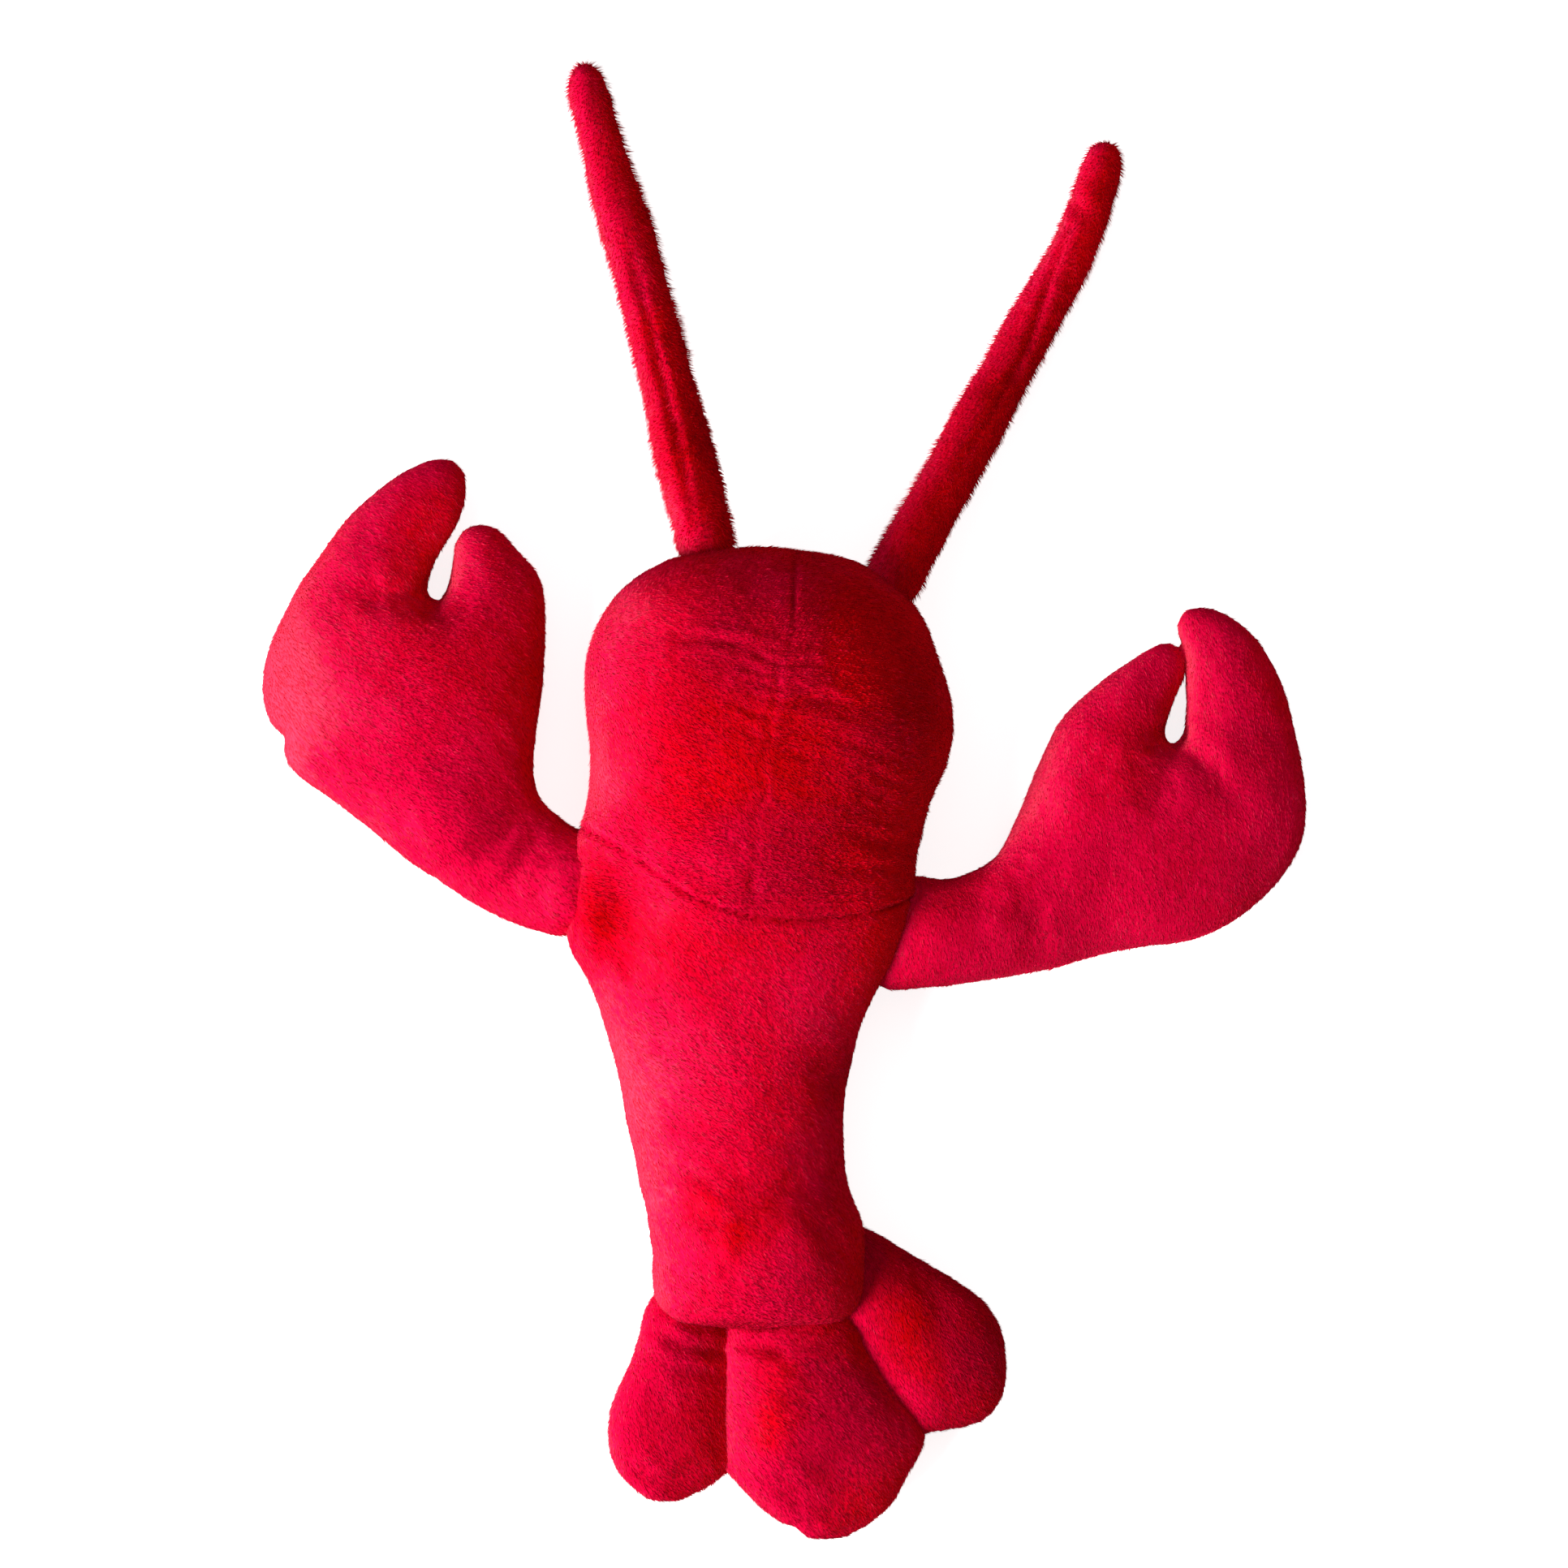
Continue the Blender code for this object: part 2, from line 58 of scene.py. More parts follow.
# Skins
FACET_PASSES = 26  # passes that smooth the solid's facets away
OVERLAP = 0.0003  # grows the solids, so that those of one skin close the gap between them
INSET = 0.00002  # the skin lies this far inside the solids
REST_HEIGHT = 0.0002  # no point lies lower than this over the floor
EDGE_SEAM_DEPTH = 0.0005
EDGE_SEAM_WIDTH = 0.13  # as a change in the upward part of the normal
EDGE_SEAM_WAVERS = ((0.05, 0.012, 21),)  # layers of noise: each one's strength, size and seed
UNEVEN = ((0.0007, 0.026, 3), (0.00035, 0.011, 4))
SEWN_WITHIN = 0.0016  # cloth that is nearer than this to the next pouch is sewn to it
SEWN_FADES = 0.0028
SEWN_BITE = 0.0015  # how far the sewn end goes into the next pouch

# The stuffing, as a cloth simulation
CLOTH_FRAMES = 20
CLOTH_PRESSURE = 4
CLOTH_MASS = 0.02
CLOTH_CAP = 0.0025  # the furthest that the stuffing may push a point
PINNED_NEAR_SEAM = 1.6  # millimetres
PINNED_BELOW = 0.0012

# Pile
FULL_DENSITY = 1.70e6  # strands on each square metre of upper side
SIDE_DENSITY = 0.95e6
UNDER_DENSITY = 0.35e6
UPPER_SIDE = -0.05  # the least upward part of the normal on the upper side, and on the sides
SIDES = -0.35
BARE_BELOW = 0.001  # the cloth that rests on the floor is hidden and has no pile
STRAND_WIDTH = 0.00038
STRAND_SINK = 0.00015
SEAM_REACH = 0.8  # millimetres on each side of a stitched seam where the pile is thin and dark
SEAM_ENDS = 3  # millimetres beyond which a seam changes no pile
SEAM_STEP = 0.4
SEAM_THINS = 0.8  # the part of the strands that is missing on the darkest seam
MOST_STRANDS = 49000  # in one piece, at four triangles each
UV_MAP = "OFBake"

# The lay of the strands, in radians, and their sizes as parts of the pouch's own
SWIRL = ((0.42, 0.026, 1), (0.12, 0.006, 2))
LIFT_VARIES = ((0.35, 0.012, 3),)
LIFT_RANGE = (0.08, 1.30)
EACH_TURNS = 0.06  # how far single strands differ
EACH_LIFTS = 0.08
EACH_ROLLS = 0.35
LENGTHS = (0.75, 1.30)
WIDTHS = (0.7, 1.3)
CLUMP_SIZE = 0.0009
CLUMP_SHAPE = (0.30, 1.0, 0.6)  # how fine clumps are along the pile, across it and in height
CLUMP_TURNS = 0.12
CLUMP_LIFTS = 0.30
CLUMP_LENGTHENS = 0.25

# Shades, as parts of the way from dark to light and from scarlet to crimson
PAINTED_LIGHT_TRAVELS = (0.96, 0.08, 0.0)  # the way that the painted light goes: sides that face against it, at the left, towards the key lamp, get painted sheen
# Painted sheen: sides that face the key lamp are painted lighter by the first and more crimson by the
# second, and by the second, sides turned away are painted more scarlet as painted shade
PAINTED_SHEEN_LIGHT = 0.66
PAINTED_SHEEN_CRIMSON = 0.80
CLUMP_LIGHT = 0.13
CLUMP_CRIMSON = 0.15
LIGHT_VARIES = ((0.10, 0.016, 5),)
CRIMSON_AREAS = 0.30  # the strength of broad areas that lean to crimson or to scarlet
CRIMSON_AREA = 0.034
CRIMSON_VARIES = ((0.15, 0.009, 7),)
RAGGED = 3  # millimetres that the outline of a patch strays
RAGGED_SIZE = 0.008
EACH_LIGHT = 0.13
EACH_CRIMSON = 0.15
PALE_STRANDS = 0.08  # the part of the strands that is painted paler as glints, painted highlights, and by how much
PALE_LIGHT = 0.22
# Dark seams darken the pile: partly the flattened pile's own tone at the stitches, partly painted shade
# in the groove
SEAM_DARKENS = 0.60
ALONG_STRAND = (-0.22, -0.22, -0.10, 0.12)  # painted shade at the root and a painted highlight at the tip: at the two corners of its root, its ridge and its tip
ACROSS_STRAND = (-0.03, 0.03, 0.0, 0.0)
UNDER_STRANDS = 0.14  # how much darker the cloth is than the strands over it, as painted shade under the pile
SPECKS = 0.15

# The camera and the light
PHOTO_CENTRE = (0.0065, 0.0585)
PHOTO_WIDTH = 0.483
FOCUS_HEIGHT = 0.022
LAMPS_FACE = 0.03  # the height that the lamps face
LENS = 250.0
SENSOR = 36.0
FLOOR_HALF = 4.0
FLOOR_GLOW = 0.82  # brings the floor up to white where it is seen
WORLD_LIGHT = 0.25


class Lamp(NamedTuple):
    """A round soft lamp that faces the toy: its place and diameter in metres, and its power."""

    name: str
    place: tuple
    size: float
    power: float


LAMPS = (
    Lamp("key", (-1.06, -0.64, 0.97), 0.80, 34.0),
    Lamp("fill", (0.15, 0.60, 1.3), 1.2, 2.0),
)


class Lay(NamedTuple):
    """How pile lies: the plan direction it is brushed in, and its angle over the cloth."""

    nap: tuple
    degrees: float


class Pouch(NamedTuple):
    """One stuffed pouch, in metres: its solids, its mesh's voxel size, and its pile's length.

    A fine pouch gets its faces halved after the simulation. crimson is how far its red leans
    to crimson, and light how light it is, from 0 to 1.
    edge is the upward part of the normal where the seam between its two panels runs.
    """

    nodes: tuple
    voxel: float
    fine: bool
    pile: float
    lay: Lay
    crimson: float
    light: float
    edge: float


POUCHES = {
    "torso": Pouch(
        ("carapace", "abdomen"), voxel=0.0023, fine=True, pile=0.0016,
        lay=Lay((0.72, -0.70), 16), crimson=0.40, light=0.38, edge=-0.30,
    ),
    "left_claw_skin": Pouch(
        ("left_claw",), voxel=0.0013, fine=False, pile=0.0016,
        lay=Lay((0.80, -0.60), 18), crimson=0.84, light=0.49, edge=0.12,
    ),
    "right_claw_skin": Pouch(
        ("right_claw",), voxel=0.0013, fine=False, pile=0.0015,
        lay=Lay((0.12, -1.00), 16), crimson=0.90, light=0.44, edge=0.12,
    ),
    "left_antenna_skin": Pouch(
        ("left_antenna",), voxel=0.0026, fine=True, pile=0.0023,
        lay=Lay((-0.05, -1.00), 56), crimson=0.40, light=0.36, edge=-0.10,
    ),
    "right_antenna_skin": Pouch(
        ("right_antenna",), voxel=0.0026, fine=True, pile=0.0019,
        lay=Lay((-0.30, -0.90), 50), crimson=0.42, light=0.40, edge=-0.10,
    ),
    "left_lobe_skin": Pouch(
        ("left_tail_lobe",), voxel=0.0026, fine=True, pile=0.0017,
        lay=Lay((0.45, -0.90), 20), crimson=0.74, light=0.33, edge=0.05,
    ),
    "centre_lobe_skin": Pouch(
        ("centre_tail_lobe",), voxel=0.0026, fine=True, pile=0.0017,
        lay=Lay((0.60, -0.80), 18), crimson=0.72, light=0.40, edge=0.05,
    ),
    "right_lobe_skin": Pouch(
        ("right_tail_lobe",), voxel=0.0026, fine=True, pile=0.0016,
        lay=Lay((0.55, -0.85), 20), crimson=0.62, light=0.20, edge=0.05,
    ),
}

# The two panels of the head meet at its middle seam, and their pile lies differently.
HEAD_FROM = 0.022
HEAD_SEAM_X = 0.003
HEAD_LEFT = Lay((0.80, -0.55), 24)
HEAD_RIGHT = Lay((0.95, -0.30), 27)


class Crease(NamedTuple):
    """A line pressed into the upper side: its plan points, half width, depth and lips.

    A dark line is a seam that thins and darkens the pile over it, from 0 to 1: partly the flattened
    pile's own tone at its stitches, partly painted shade in its groove.
    """

    points: tuple
    width: float
    depth: float
    lip: float = 0.0
    stitch: float = 0.0  # distance between stitches, if it is a sewn seam
    wander: float = 0.0  # how far it strays to its sides
    step: float = 0.0  # how far the cloth on the line's left side stands over that on its right
    dark: float = 0.0


class Patch(NamedTuple):
    """A patch of pile, lighter or darker and more crimson or scarlet than the rest: some are brushed
    areas in the pile's own tone, others are painted sheen where a side faces the key lamp.
    """

    place: tuple
    reach: float
    light: float
    crimson: float


class Lift(NamedTuple):
    """A broad rise of the upper side, or a hollow if its height is negative, in millimetres."""

    place: tuple
    reach: tuple
    height: float


class Dent(NamedTuple):
    """A soft hollow in an outline, or a bulge if its depth is negative: plan place and reach."""

    place: tuple
    reach: float
    depth: float


SHOULDER_SEAM = Crease(((-57.5, 45), (-57.6, 34), (-57.3, 24), (-57.6, 14), (-58.5, 7)),
                       0.8, 0.5, stitch=2.2, wander=0.2, dark=0.5)

TORSO_CREASES = (
    # The carapace seam
    Crease(((-56, 46), (-47, 41), (-37.5, 35), (-22.5, 25), (-5, 18.8), (10, 17), (27.5, 18.3),
            (40, 21.3), (48, 24.5)), 0.9, 1.4, 0.2, stitch=2.0, wander=0.3, step=0.9, dark=0.62),
    # The seam of the left shoulder
    SHOULDER_SEAM,
    # The middle seam of the head, faint at the front and gathered in the middle
    Crease(((9.5, 131), (9.4, 118), (8.8, 104), (7.5, 98)), 0.7, 0.6, 0.1,
           stitch=2.4, wander=0.4, dark=0.45),
    Crease(((7.5, 98), (5, 92), (3.5, 86), (3.2, 78), (1.5, 70)), 1.1, 0.25, 0.15,
           stitch=4.2, wander=2.4),
    Crease(((1.5, 70), (0.5, 60), (-1.0, 50), (-2.5, 40), (-4.5, 24)), 1.2, 0.16, 0.1,
           stitch=3.1, wander=1.8),
    # Gathers across the middle seam
    Crease(((-26, 103.5), (-18, 102.8), (-9, 101.5), (-4, 100.6), (1, 99.2), (6, 97.6)), 1.4, 0.6, 0.5),
    Crease(((-8, 99), (-3, 98), (2, 95.5), (7, 94), (16, 95.5)), 1.3, 0.9, 0.6),
    Crease(((-8, 95.5), (0, 92.4), (6, 91), (14, 92)), 1.2, 0.8, 0.5),
    Crease(((-6, 90.5), (0, 89), (5, 87.5), (12, 88)), 1.2, 0.7, 0.4),
    Crease(((-9, 83), (-2, 80), (3, 79.5)), 1.2, 0.6, 0.4),
    Crease(((4, 84), (10, 83.0), (18, 84.5), (26, 83)), 1.3, 0.7, 0.4),
    Crease(((-6, 75), (0, 72.5), (4, 73)), 1.2, 0.5, 0.3),
    Crease(((6, 69), (13, 66.8), (20, 66.5)), 1.3, 0.6, 0.4),
    Crease(((2, 35), (-2, 31), (-4, 25)), 1.8, 0.20, 0.2),
    Crease(((-4, 22), (-3, 28), (-6, 33)), 1.8, 0.25, 0.2),
    # Wrinkles on the right of the head
    Crease(((25, 71.5), (32, 69), (38, 67)), 1.6, 0.45, 0.3),
    Crease(((31, 63.5), (37, 60), (44, 57)), 1.6, 0.50, 0.3),
    Crease(((27, 59), (34, 56), (40, 51)), 1.6, 0.30, 0.2),
    Crease(((26, 44), (36, 40.5), (46, 38)), 1.9, 0.7, 0.4),
    Crease(((20, 33), (32, 32.5), (44, 33)), 1.8, 0.6, 0.4),
    Crease(((10, 86), (21, 82), (33, 82)), 2.4, 0.6, 0.4),
    # A broad fold across the left of the head
    Crease(((-44, 100), (-32, 104), (-20, 106)), 5.0, 0.7, 0.3),
    # Soft folds on the left of the body and over its lower end
    Crease(((-47, 6), (-40, 3), (-32, 3)), 3.2, 0.9, 0.5),
    Crease(((-43, -16), (-36, -19), (-28, -18)), 3.4, 0.9, 0.4),
    Crease(((-8, -67), (3, -66), (12, -63), (21, -58)), 4.0, 0.9, 0.5),
    Crease(((-42, -56), (-32, -60), (-20, -61), (-8, -60)), 4.4, 0.8, 0.6),
    Crease(((-40, -69), (-31, -72), (-19, -73), (-6, -72)), 4.0, 1.0, 0.8),
    Crease(((-37, -84), (-26, -88), (-12, -88), (2, -84)), 4.8, 0.9, 0.6),
    Crease(((14, -73), (20, -79), (26, -88)), 3.4, 0.9, 0.5),
    Crease(((16, -24), (20, -30), (24, -38)), 4.0, 0.9, 0.3),
)

LEFT_CLAW_CREASES = (
    SHOULDER_SEAM,
    # From the notch between the fingers across the palm
    Crease(((-99, 114), (-106, 116.5), (-113, 117.5), (-122, 117), (-132, 114)), 4.8, 1.7, 0.4),
    # The arm, folded where it meets the shoulder
    Crease(((-60, 41), (-65, 32), (-69, 25)), 2.8, 0.8, 0.6),
    Crease(((-65, 43), (-73, 34), (-80, 27)), 3.2, 1.0, 0.7),
    Crease(((-74, 46), (-83, 40), (-90, 34)), 3.4, 0.8, 0.5),
    # Soft dents on the palm
    Crease(((-118, 92), (-108, 88), (-98, 88)), 7.0, 0.6),
    Crease(((-104, 68), (-96, 62), (-90, 60)), 6.0, 0.6),
)

RIGHT_CLAW_CREASES = (
    # From the slit between the fingers, to both sides
    Crease(((126, 72), (133, 68), (139, 62), (144, 55)), 4.0, 1.4, 0.6),
    Crease(((126.5, 71), (118, 70), (110, 72)), 4.4, 0.8, 0.3),
    Crease(((126, 69), (120, 61), (115, 50)), 8.0, 1.7, 0.3),
    Crease(((106, 74), (103, 62), (106, 50)), 5.0, 0.7, 0.3),
    # The arm
    Crease(((81, 31), (82.5, 19), (84, 9), (85, 1)), 3.8, 0.8, 0.5),
    Crease(((78, 12), (70, 10), (61, 13)), 3.0, 0.3, 0.2),
    Crease(((92, 38), (88, 29), (86, 20)), 4.6, 0.6, 0.4),
    # Soft dents on the palm
    Crease(((100, 42), (108, 38), (118, 40)), 6.5, 0.6),
)

LEFT_ANTENNA_CREASES = (
    Crease(((-42, 226), (-36, 204), (-30, 180), (-24, 155), (-21, 138)), 1.3, 1.4, 0.3),
)
RIGHT_ANTENNA_CREASES = (
    Crease(((97.5, 237), (89, 215), (82, 194), (72, 175), (60, 155)), 1.3, 1.4, 0.3),
    Crease(((92, 243), (97, 237), (102, 233)), 2.4, 0.7, 0.3),
)

LEFT_LOBE_CREASES = (
    Crease(((-42, -150), (-35, -155), (-27, -155.5), (-20, -152)), 2.0, 1.2, 0.6),
    Crease(((-33, -109), (-27, -112.5), (-19, -115.5), (-9, -115.5)), 1.9, 1.2, 1.2),
    Crease(((-29, -117), (-22, -121), (-12, -121)), 2.4, 0.8, 0.6),
    Crease(((-33, -126), (-31, -140)), 5.0, 0.7),
)
CENTRE_LOBE_CREASES = (
    Crease(((-9, -113), (0, -114.5), (8, -114.5), (18, -112.5), (27, -107)), 1.9, 1.2, 1.2),
    Crease(((2, -119), (12, -120), (22, -117)), 2.4, 0.7, 0.5),
    Crease(((12, -171), (20, -174), (29, -172)), 2.2, 1.2, 0.6),
    Crease(((2, -155), (10, -160), (19, -162)), 3.0, 0.9, 0.4),
    Crease(((16, -120), (14, -131), (16, -143)), 6.0, 0.8),
)
RIGHT_LOBE_CREASES = (
    Crease(((43, -88), (52, -98), (58, -108)), 4.0, 0.8, 0.4),
    Crease(((50, -118), (58, -126), (60, -134)), 5.2, 0.7),
)

CREASES = {
    "torso": TORSO_CREASES,
    "left_claw_skin": LEFT_CLAW_CREASES,
    "right_claw_skin": RIGHT_CLAW_CREASES,
    "left_antenna_skin": LEFT_ANTENNA_CREASES,
    "right_antenna_skin": RIGHT_ANTENNA_CREASES,
    "left_lobe_skin": LEFT_LOBE_CREASES,
    "centre_lobe_skin": CENTRE_LOBE_CREASES,
    "right_lobe_skin": RIGHT_LOBE_CREASES,
}

# Some patches are brushed areas in the pile's own tone; others are painted sheen, paler and more
# crimson where a side faces the key lamp, as at the left of the head, of the body and of the left claw
PATCHES = {
    "torso": (
        Patch((44, 84), 10, -0.10, 0.10),
        Patch((46, 71), 9, -0.10, 0.10),
        Patch((47, 95), 8, -0.10, 0.05),
        Patch((58, 84), 6, 0.05, 0.40),
        Patch((10, 122), 26, 0.04, -0.05),
        Patch((-10, 112), 13, -0.06, -0.05),
        Patch((-38, 110), 14, 0.16, 0.20),
        Patch((14, 70), 16, -0.06, -0.05),
        Patch((-20, 58), 18, 0.04, -0.25),
        Patch((-24, 78), 18, -0.18, -0.05),
        Patch((-46, 60), 10, 0.12, 0.20),
        Patch((-50, 18), 13, -0.20, -0.40),
        Patch((-34, 12), 16, 0.04, -0.45),
        Patch((-8, -34), 46, 0.21, 0.16),
        Patch((24, -12), 20, 0.08, 0.45),
        Patch((14, -52), 20, 0.04, 0.40),
        Patch((-44, -40), 16, 0.14, 0.30),
        Patch((-8, -22), 26, 0.02, 0.25),
        Patch((12, -2), 18, 0.08, 0.35),
        Patch((-30, -44), 9, 0.02, -0.35),
        Patch((-22, -66), 9, 0.00, -0.40),
        Patch((-10, -79), 8, -0.02, -0.40),
        Patch((21, -32), 11, -0.26, 0.00),
        Patch((6, -92), 16, 0.08, 0.25),
        Patch((-18, -96), 10, 0.02, -0.25),
        Patch((18, -70), 10, -0.12, 0.10),
    ),
    "left_claw_skin": (
        # Painted sheen: the left of the claw, which faces the key lamp, is painted paler and more
        # crimson
        Patch((-140, 92), 28, 0.34, 0.25),
        Patch((-77, 92), 14, -0.28, -0.25),
        Patch((-85, 38), 13, -0.36, -0.10),
        Patch((-106, 132), 16, 0.14, 0.00),
        Patch((-104, 70), 12, 0.00, -0.25),
        Patch((-82, 56), 12, -0.08, -0.10),
    ),
    "right_claw_skin": (
        Patch((96, 66), 15, 0.12, 0.15),
        Patch((140, 100), 10, 0.06, 0.05),
        Patch((160, 50), 14, 0.06, 0.10),
        Patch((110, 8), 14, 0.12, 0.10),
        Patch((118, 58), 9, -0.16, 0.00),
        Patch((134, 88), 7, 0.02, -0.35),
        Patch((108, 92), 12, 0.10, 0.10),
        Patch((66, 14), 14, 0.02, 0.05),
    ),
    "left_antenna_skin": (
        Patch((-37, 200), 9, 0.04, -0.40),
        Patch((-28, 160), 9, -0.08, -0.20),
    ),
    "right_antenna_skin": (
        Patch((90, 232), 10, 0.10, 0.30),
        Patch((62, 168), 10, -0.06, -0.20),
    ),
    "left_lobe_skin": (
        Patch((-34, -134), 12, -0.06, 0.10),
        Patch((-24, -148), 8, 0.06, 0.10),
    ),
    "centre_lobe_skin": (
        Patch((3, -124), 8, 0.10, -0.60),
        Patch((3, -138), 9, 0.16, -0.90),
        Patch((27, -134), 16, -0.16, 0.25),
        Patch((20, -116), 10, -0.12, 0.05),
        Patch((16, -160), 14, -0.16, 0.00),
    ),
    "right_lobe_skin": (
        Patch((44, -108), 9, 0.06, -0.50),
        Patch((48, -122), 8, 0.04, -0.50),
        Patch((64, -118), 10, -0.06, 0.30),
    ),
}

# The left shoulder lies flat, so that the arm meets the body at one height.
LIFTS = {
    "torso": (Lift((-42, 25), (12, 20), -6.5),),
    "left_claw_skin": (Lift((-56, 27), (13, 20), 7.0),),
}

# How many times further than the others a pouch goes into the one that it is sewn to
SEWN_DEEPER = {"left_claw_skin": 2.4}

DENTS = {
    "torso": (
        Dent((-52, 112), 13, 1.2),
        Dent((55, 100), 13, 1.2),
        Dent((-59, 40), 8, -1.6),
        Dent((-59, 24), 10, -1.8),
        Dent((-57, 9), 9, -2.8),
    ),
    "left_claw_skin": (
        Dent((-74, 134), 8, 1.6),
        Dent((-148, 73), 2.6, 1.6),
        Dent((-144, 64), 9, -0.8),
        Dent((-66, 44), 6, -1.2),
    ),
    "right_claw_skin": (
        Dent((130, 94), 3.5, -1.0),
        Dent((158, 90), 14, -0.8),
    ),
    "left_antenna_skin": (
        Dent((-55, 282), 5, -2.2),
    ),
    "right_antenna_skin": (
        Dent((106, 257), 5, -1.2),
    ),
    "left_lobe_skin": (
        Dent((-42, -160), 5, 1.0),
    ),
    "centre_lobe_skin": (
        Dent((9, -172), 4, 1.2),
        Dent((32, -168), 5, 0.8),
    ),
    "right_lobe_skin": (
        Dent((36, -76), 6, 0.8),
        Dent((58, -140), 5, 0.8),
    ),
}


def points_of(mesh):
    """The mesh's points, one row each."""
    flat = np.empty(len(mesh.vertices) * 3, np.float32)
    mesh.vertices.foreach_get("co", flat)
    return flat.reshape(-1, 3).astype(float)


def set_points(mesh, points):
    """Moves the mesh's points to these places."""
    mesh.vertices.foreach_set("co", points.astype(np.float32).ravel())
    mesh.update()


def normals_of(mesh):
    """The mesh's smooth normals at its points."""
    flat = np.empty(len(mesh.vertices) * 3, np.float32)
    mesh.vertex_normals.foreach_get("vector", flat)
    return flat.reshape(-1, 3).astype(float)


def edges_of(mesh):
    """The two point numbers of each edge."""
    flat = np.empty(len(mesh.edges) * 2, np.int32)
    mesh.edges.foreach_get("vertices", flat)
    return flat.reshape(-1, 2)


def neighbour_mean(points, edges, share):
    """The mean of each point's neighbours."""
    total = np.empty_like(points)
    for k in range(points.shape[1]):
        total[:, k] = (
            np.bincount(edges[:, 0], points[edges[:, 1], k], len(points))
            + np.bincount(edges[:, 1], points[edges[:, 0], k], len(points))
        )
    return total * share[:, None]


def smoothed(points, edges, passes):
    """Takes out facets and leaves the larger form: each pass shrinks, then swells back."""
    count = np.bincount(edges.ravel(), minlength=len(points))
    share = 1 / np.maximum(count, 1)
    for _ in range(passes):
        for weight in (0.50, -0.52):
            points = points + weight * (neighbour_mean(points, edges, share) - points)
    return points


def hashed(cells, seed):
    """A number from 0 to 1 for each cell of a lattice."""
    x, y, z = (cells[..., k].astype(np.int64) for k in range(3))
    mixed = (x * 73856093) ^ (y * 19349663) ^ (z * 83492791) ^ (seed * 2654435761)
    mixed = (mixed ^ (mixed >> 13)) * 1274126177
    return ((mixed ^ (mixed >> 16)) & 0xFFFF) / 65535.0


def noise(points, scale, seed):
    """Smooth noise from -1 to 1, with cells of this size."""
    at = points / scale
    base = np.floor(at)
    part = at - base
    part = part * part * (3 - 2 * part)
    total = np.zeros(len(points))
    for corner in np.ndindex(2, 2, 2):
        weight = np.prod(np.where(corner, part, 1 - part), axis=1)
        total += weight * hashed(base + corner, seed)
    return 2 * total - 1


def layered(points, layers, seed=0):
    """The sum of these layers of noise, each one with its strength, size and seed."""
    return sum(strength * noise(points, size, seed + own) for strength, size, own in layers)


def curve_point(a, b, c, d, t):
    """The point a part t of the way from b to c, on a smooth curve through all four."""
    return 0.5 * (2 * b + (c - a) * t + (2 * a - 5 * b + 4 * c - d) * t * t
                  + (3 * b - a - 3 * c + d) * t**3)


def evenly_along(points, spacing):
    """Points in even steps along a smooth line, and how far along each one lies."""
    given = np.array(points, float)
    ends = np.concatenate([[2 * given[0] - given[1]], given, [2 * given[-1] - given[-2]]])
    dense = [curve_point(*four, t) for four in zip(ends, ends[1:], ends[2:], ends[3:])
             for t in np.arange(10) / 10]
    dense = np.array([*dense, given[-1]])
    travelled = np.concatenate([[0], np.cumsum(np.linalg.norm(np.diff(dense, axis=0), axis=1))])
    stops = np.linspace(0, travelled[-1], max(3, int(travelled[-1] / spacing)))
    line = np.stack([np.interp(stops, travelled, dense[:, k]) for k in range(2)], axis=1)
    return line, stops


def nearest_along(line, plan):
    """For each plan point, the nearest point of the line and the distance to it."""
    tree = KDTree(len(line))
    for i, point in enumerate(line):
        tree.insert((point[0], point[1], 0), i)
    tree.balance()
    found = [tree.find((x, y, 0))[1:] for x, y in plan]
    return np.array([i for i, _ in found], int), np.array([d for _, d in found], float)


def flat_points(plan):
    """Plan points with a height of nothing."""
    return np.column_stack([plan, np.zeros(len(plan))])


def strayed_line(crease, seed):
    """A crease's line with its wander, the way to its left, and how far along each point lies."""
    line, along = evenly_along(crease.points, LINE_STEP)
    forward = np.gradient(line, axis=0)
    leftward = unit(np.column_stack([-forward[:, 1], forward[:, 0]]))
    stray = noise(flat_points(line), 7.0, seed + 90)
    return line + leftward * crease.wander * stray[:, None], leftward, along


def crease_push(crease, plan, seed):
    """How far each plan point goes in for a crease, in millimetres."""
    line, leftward, along = strayed_line(crease, seed)
    reach = max(CREASE_REACH * crease.width, STEP_REACH if crease.step else 0)
    low, high = line.min(0) - reach, line.max(0) + reach
    near = np.flatnonzero(((plan > low) & (plan < high)).all(axis=1))
    push = np.zeros(len(plan))
    if len(near) == 0:
        return push
    closest, away = nearest_along(line, plan[near])
    flat = flat_points(plan[near])
    away = away + CREASE_WAVERS * crease.width * noise(flat, 5.0, seed)
    place = along[closest]
    ends = np.clip(np.minimum(place, along[-1] - place) / (ENDS_FADE * crease.width), 0, 1)
    if crease.stitch:
        taper = ends * (1 + STITCHES * np.sin(place * 2 * math.pi / crease.stitch)
                        + STITCHES_VARY * noise(flat, 9.0, seed + 50))
    else:
        taper = np.sin(math.pi * np.clip(place / along[-1], 0.04, 0.96)) ** 0.6
    groove = crease.depth * np.exp(-((away / crease.width) ** 2))
    lips = crease.lip * np.exp(-(((np.abs(away) - LIPS_AT * crease.width) / crease.width) ** 2))
    push[near] = (groove - lips) * taper
    if crease.step:
        left = ((plan[near] - line[closest]) * leftward[closest]).sum(1) > 0
        push[near] -= left * crease.step * np.exp(-((away / STEP_FADES) ** 2)) * ends
    return push


def new_object(name, data):
    """An object in the scene for this mesh, lamp or camera."""
    obj = bpy.data.objects.new(name, data)
    bpy.context.scene.collection.objects.link(obj)
    return obj


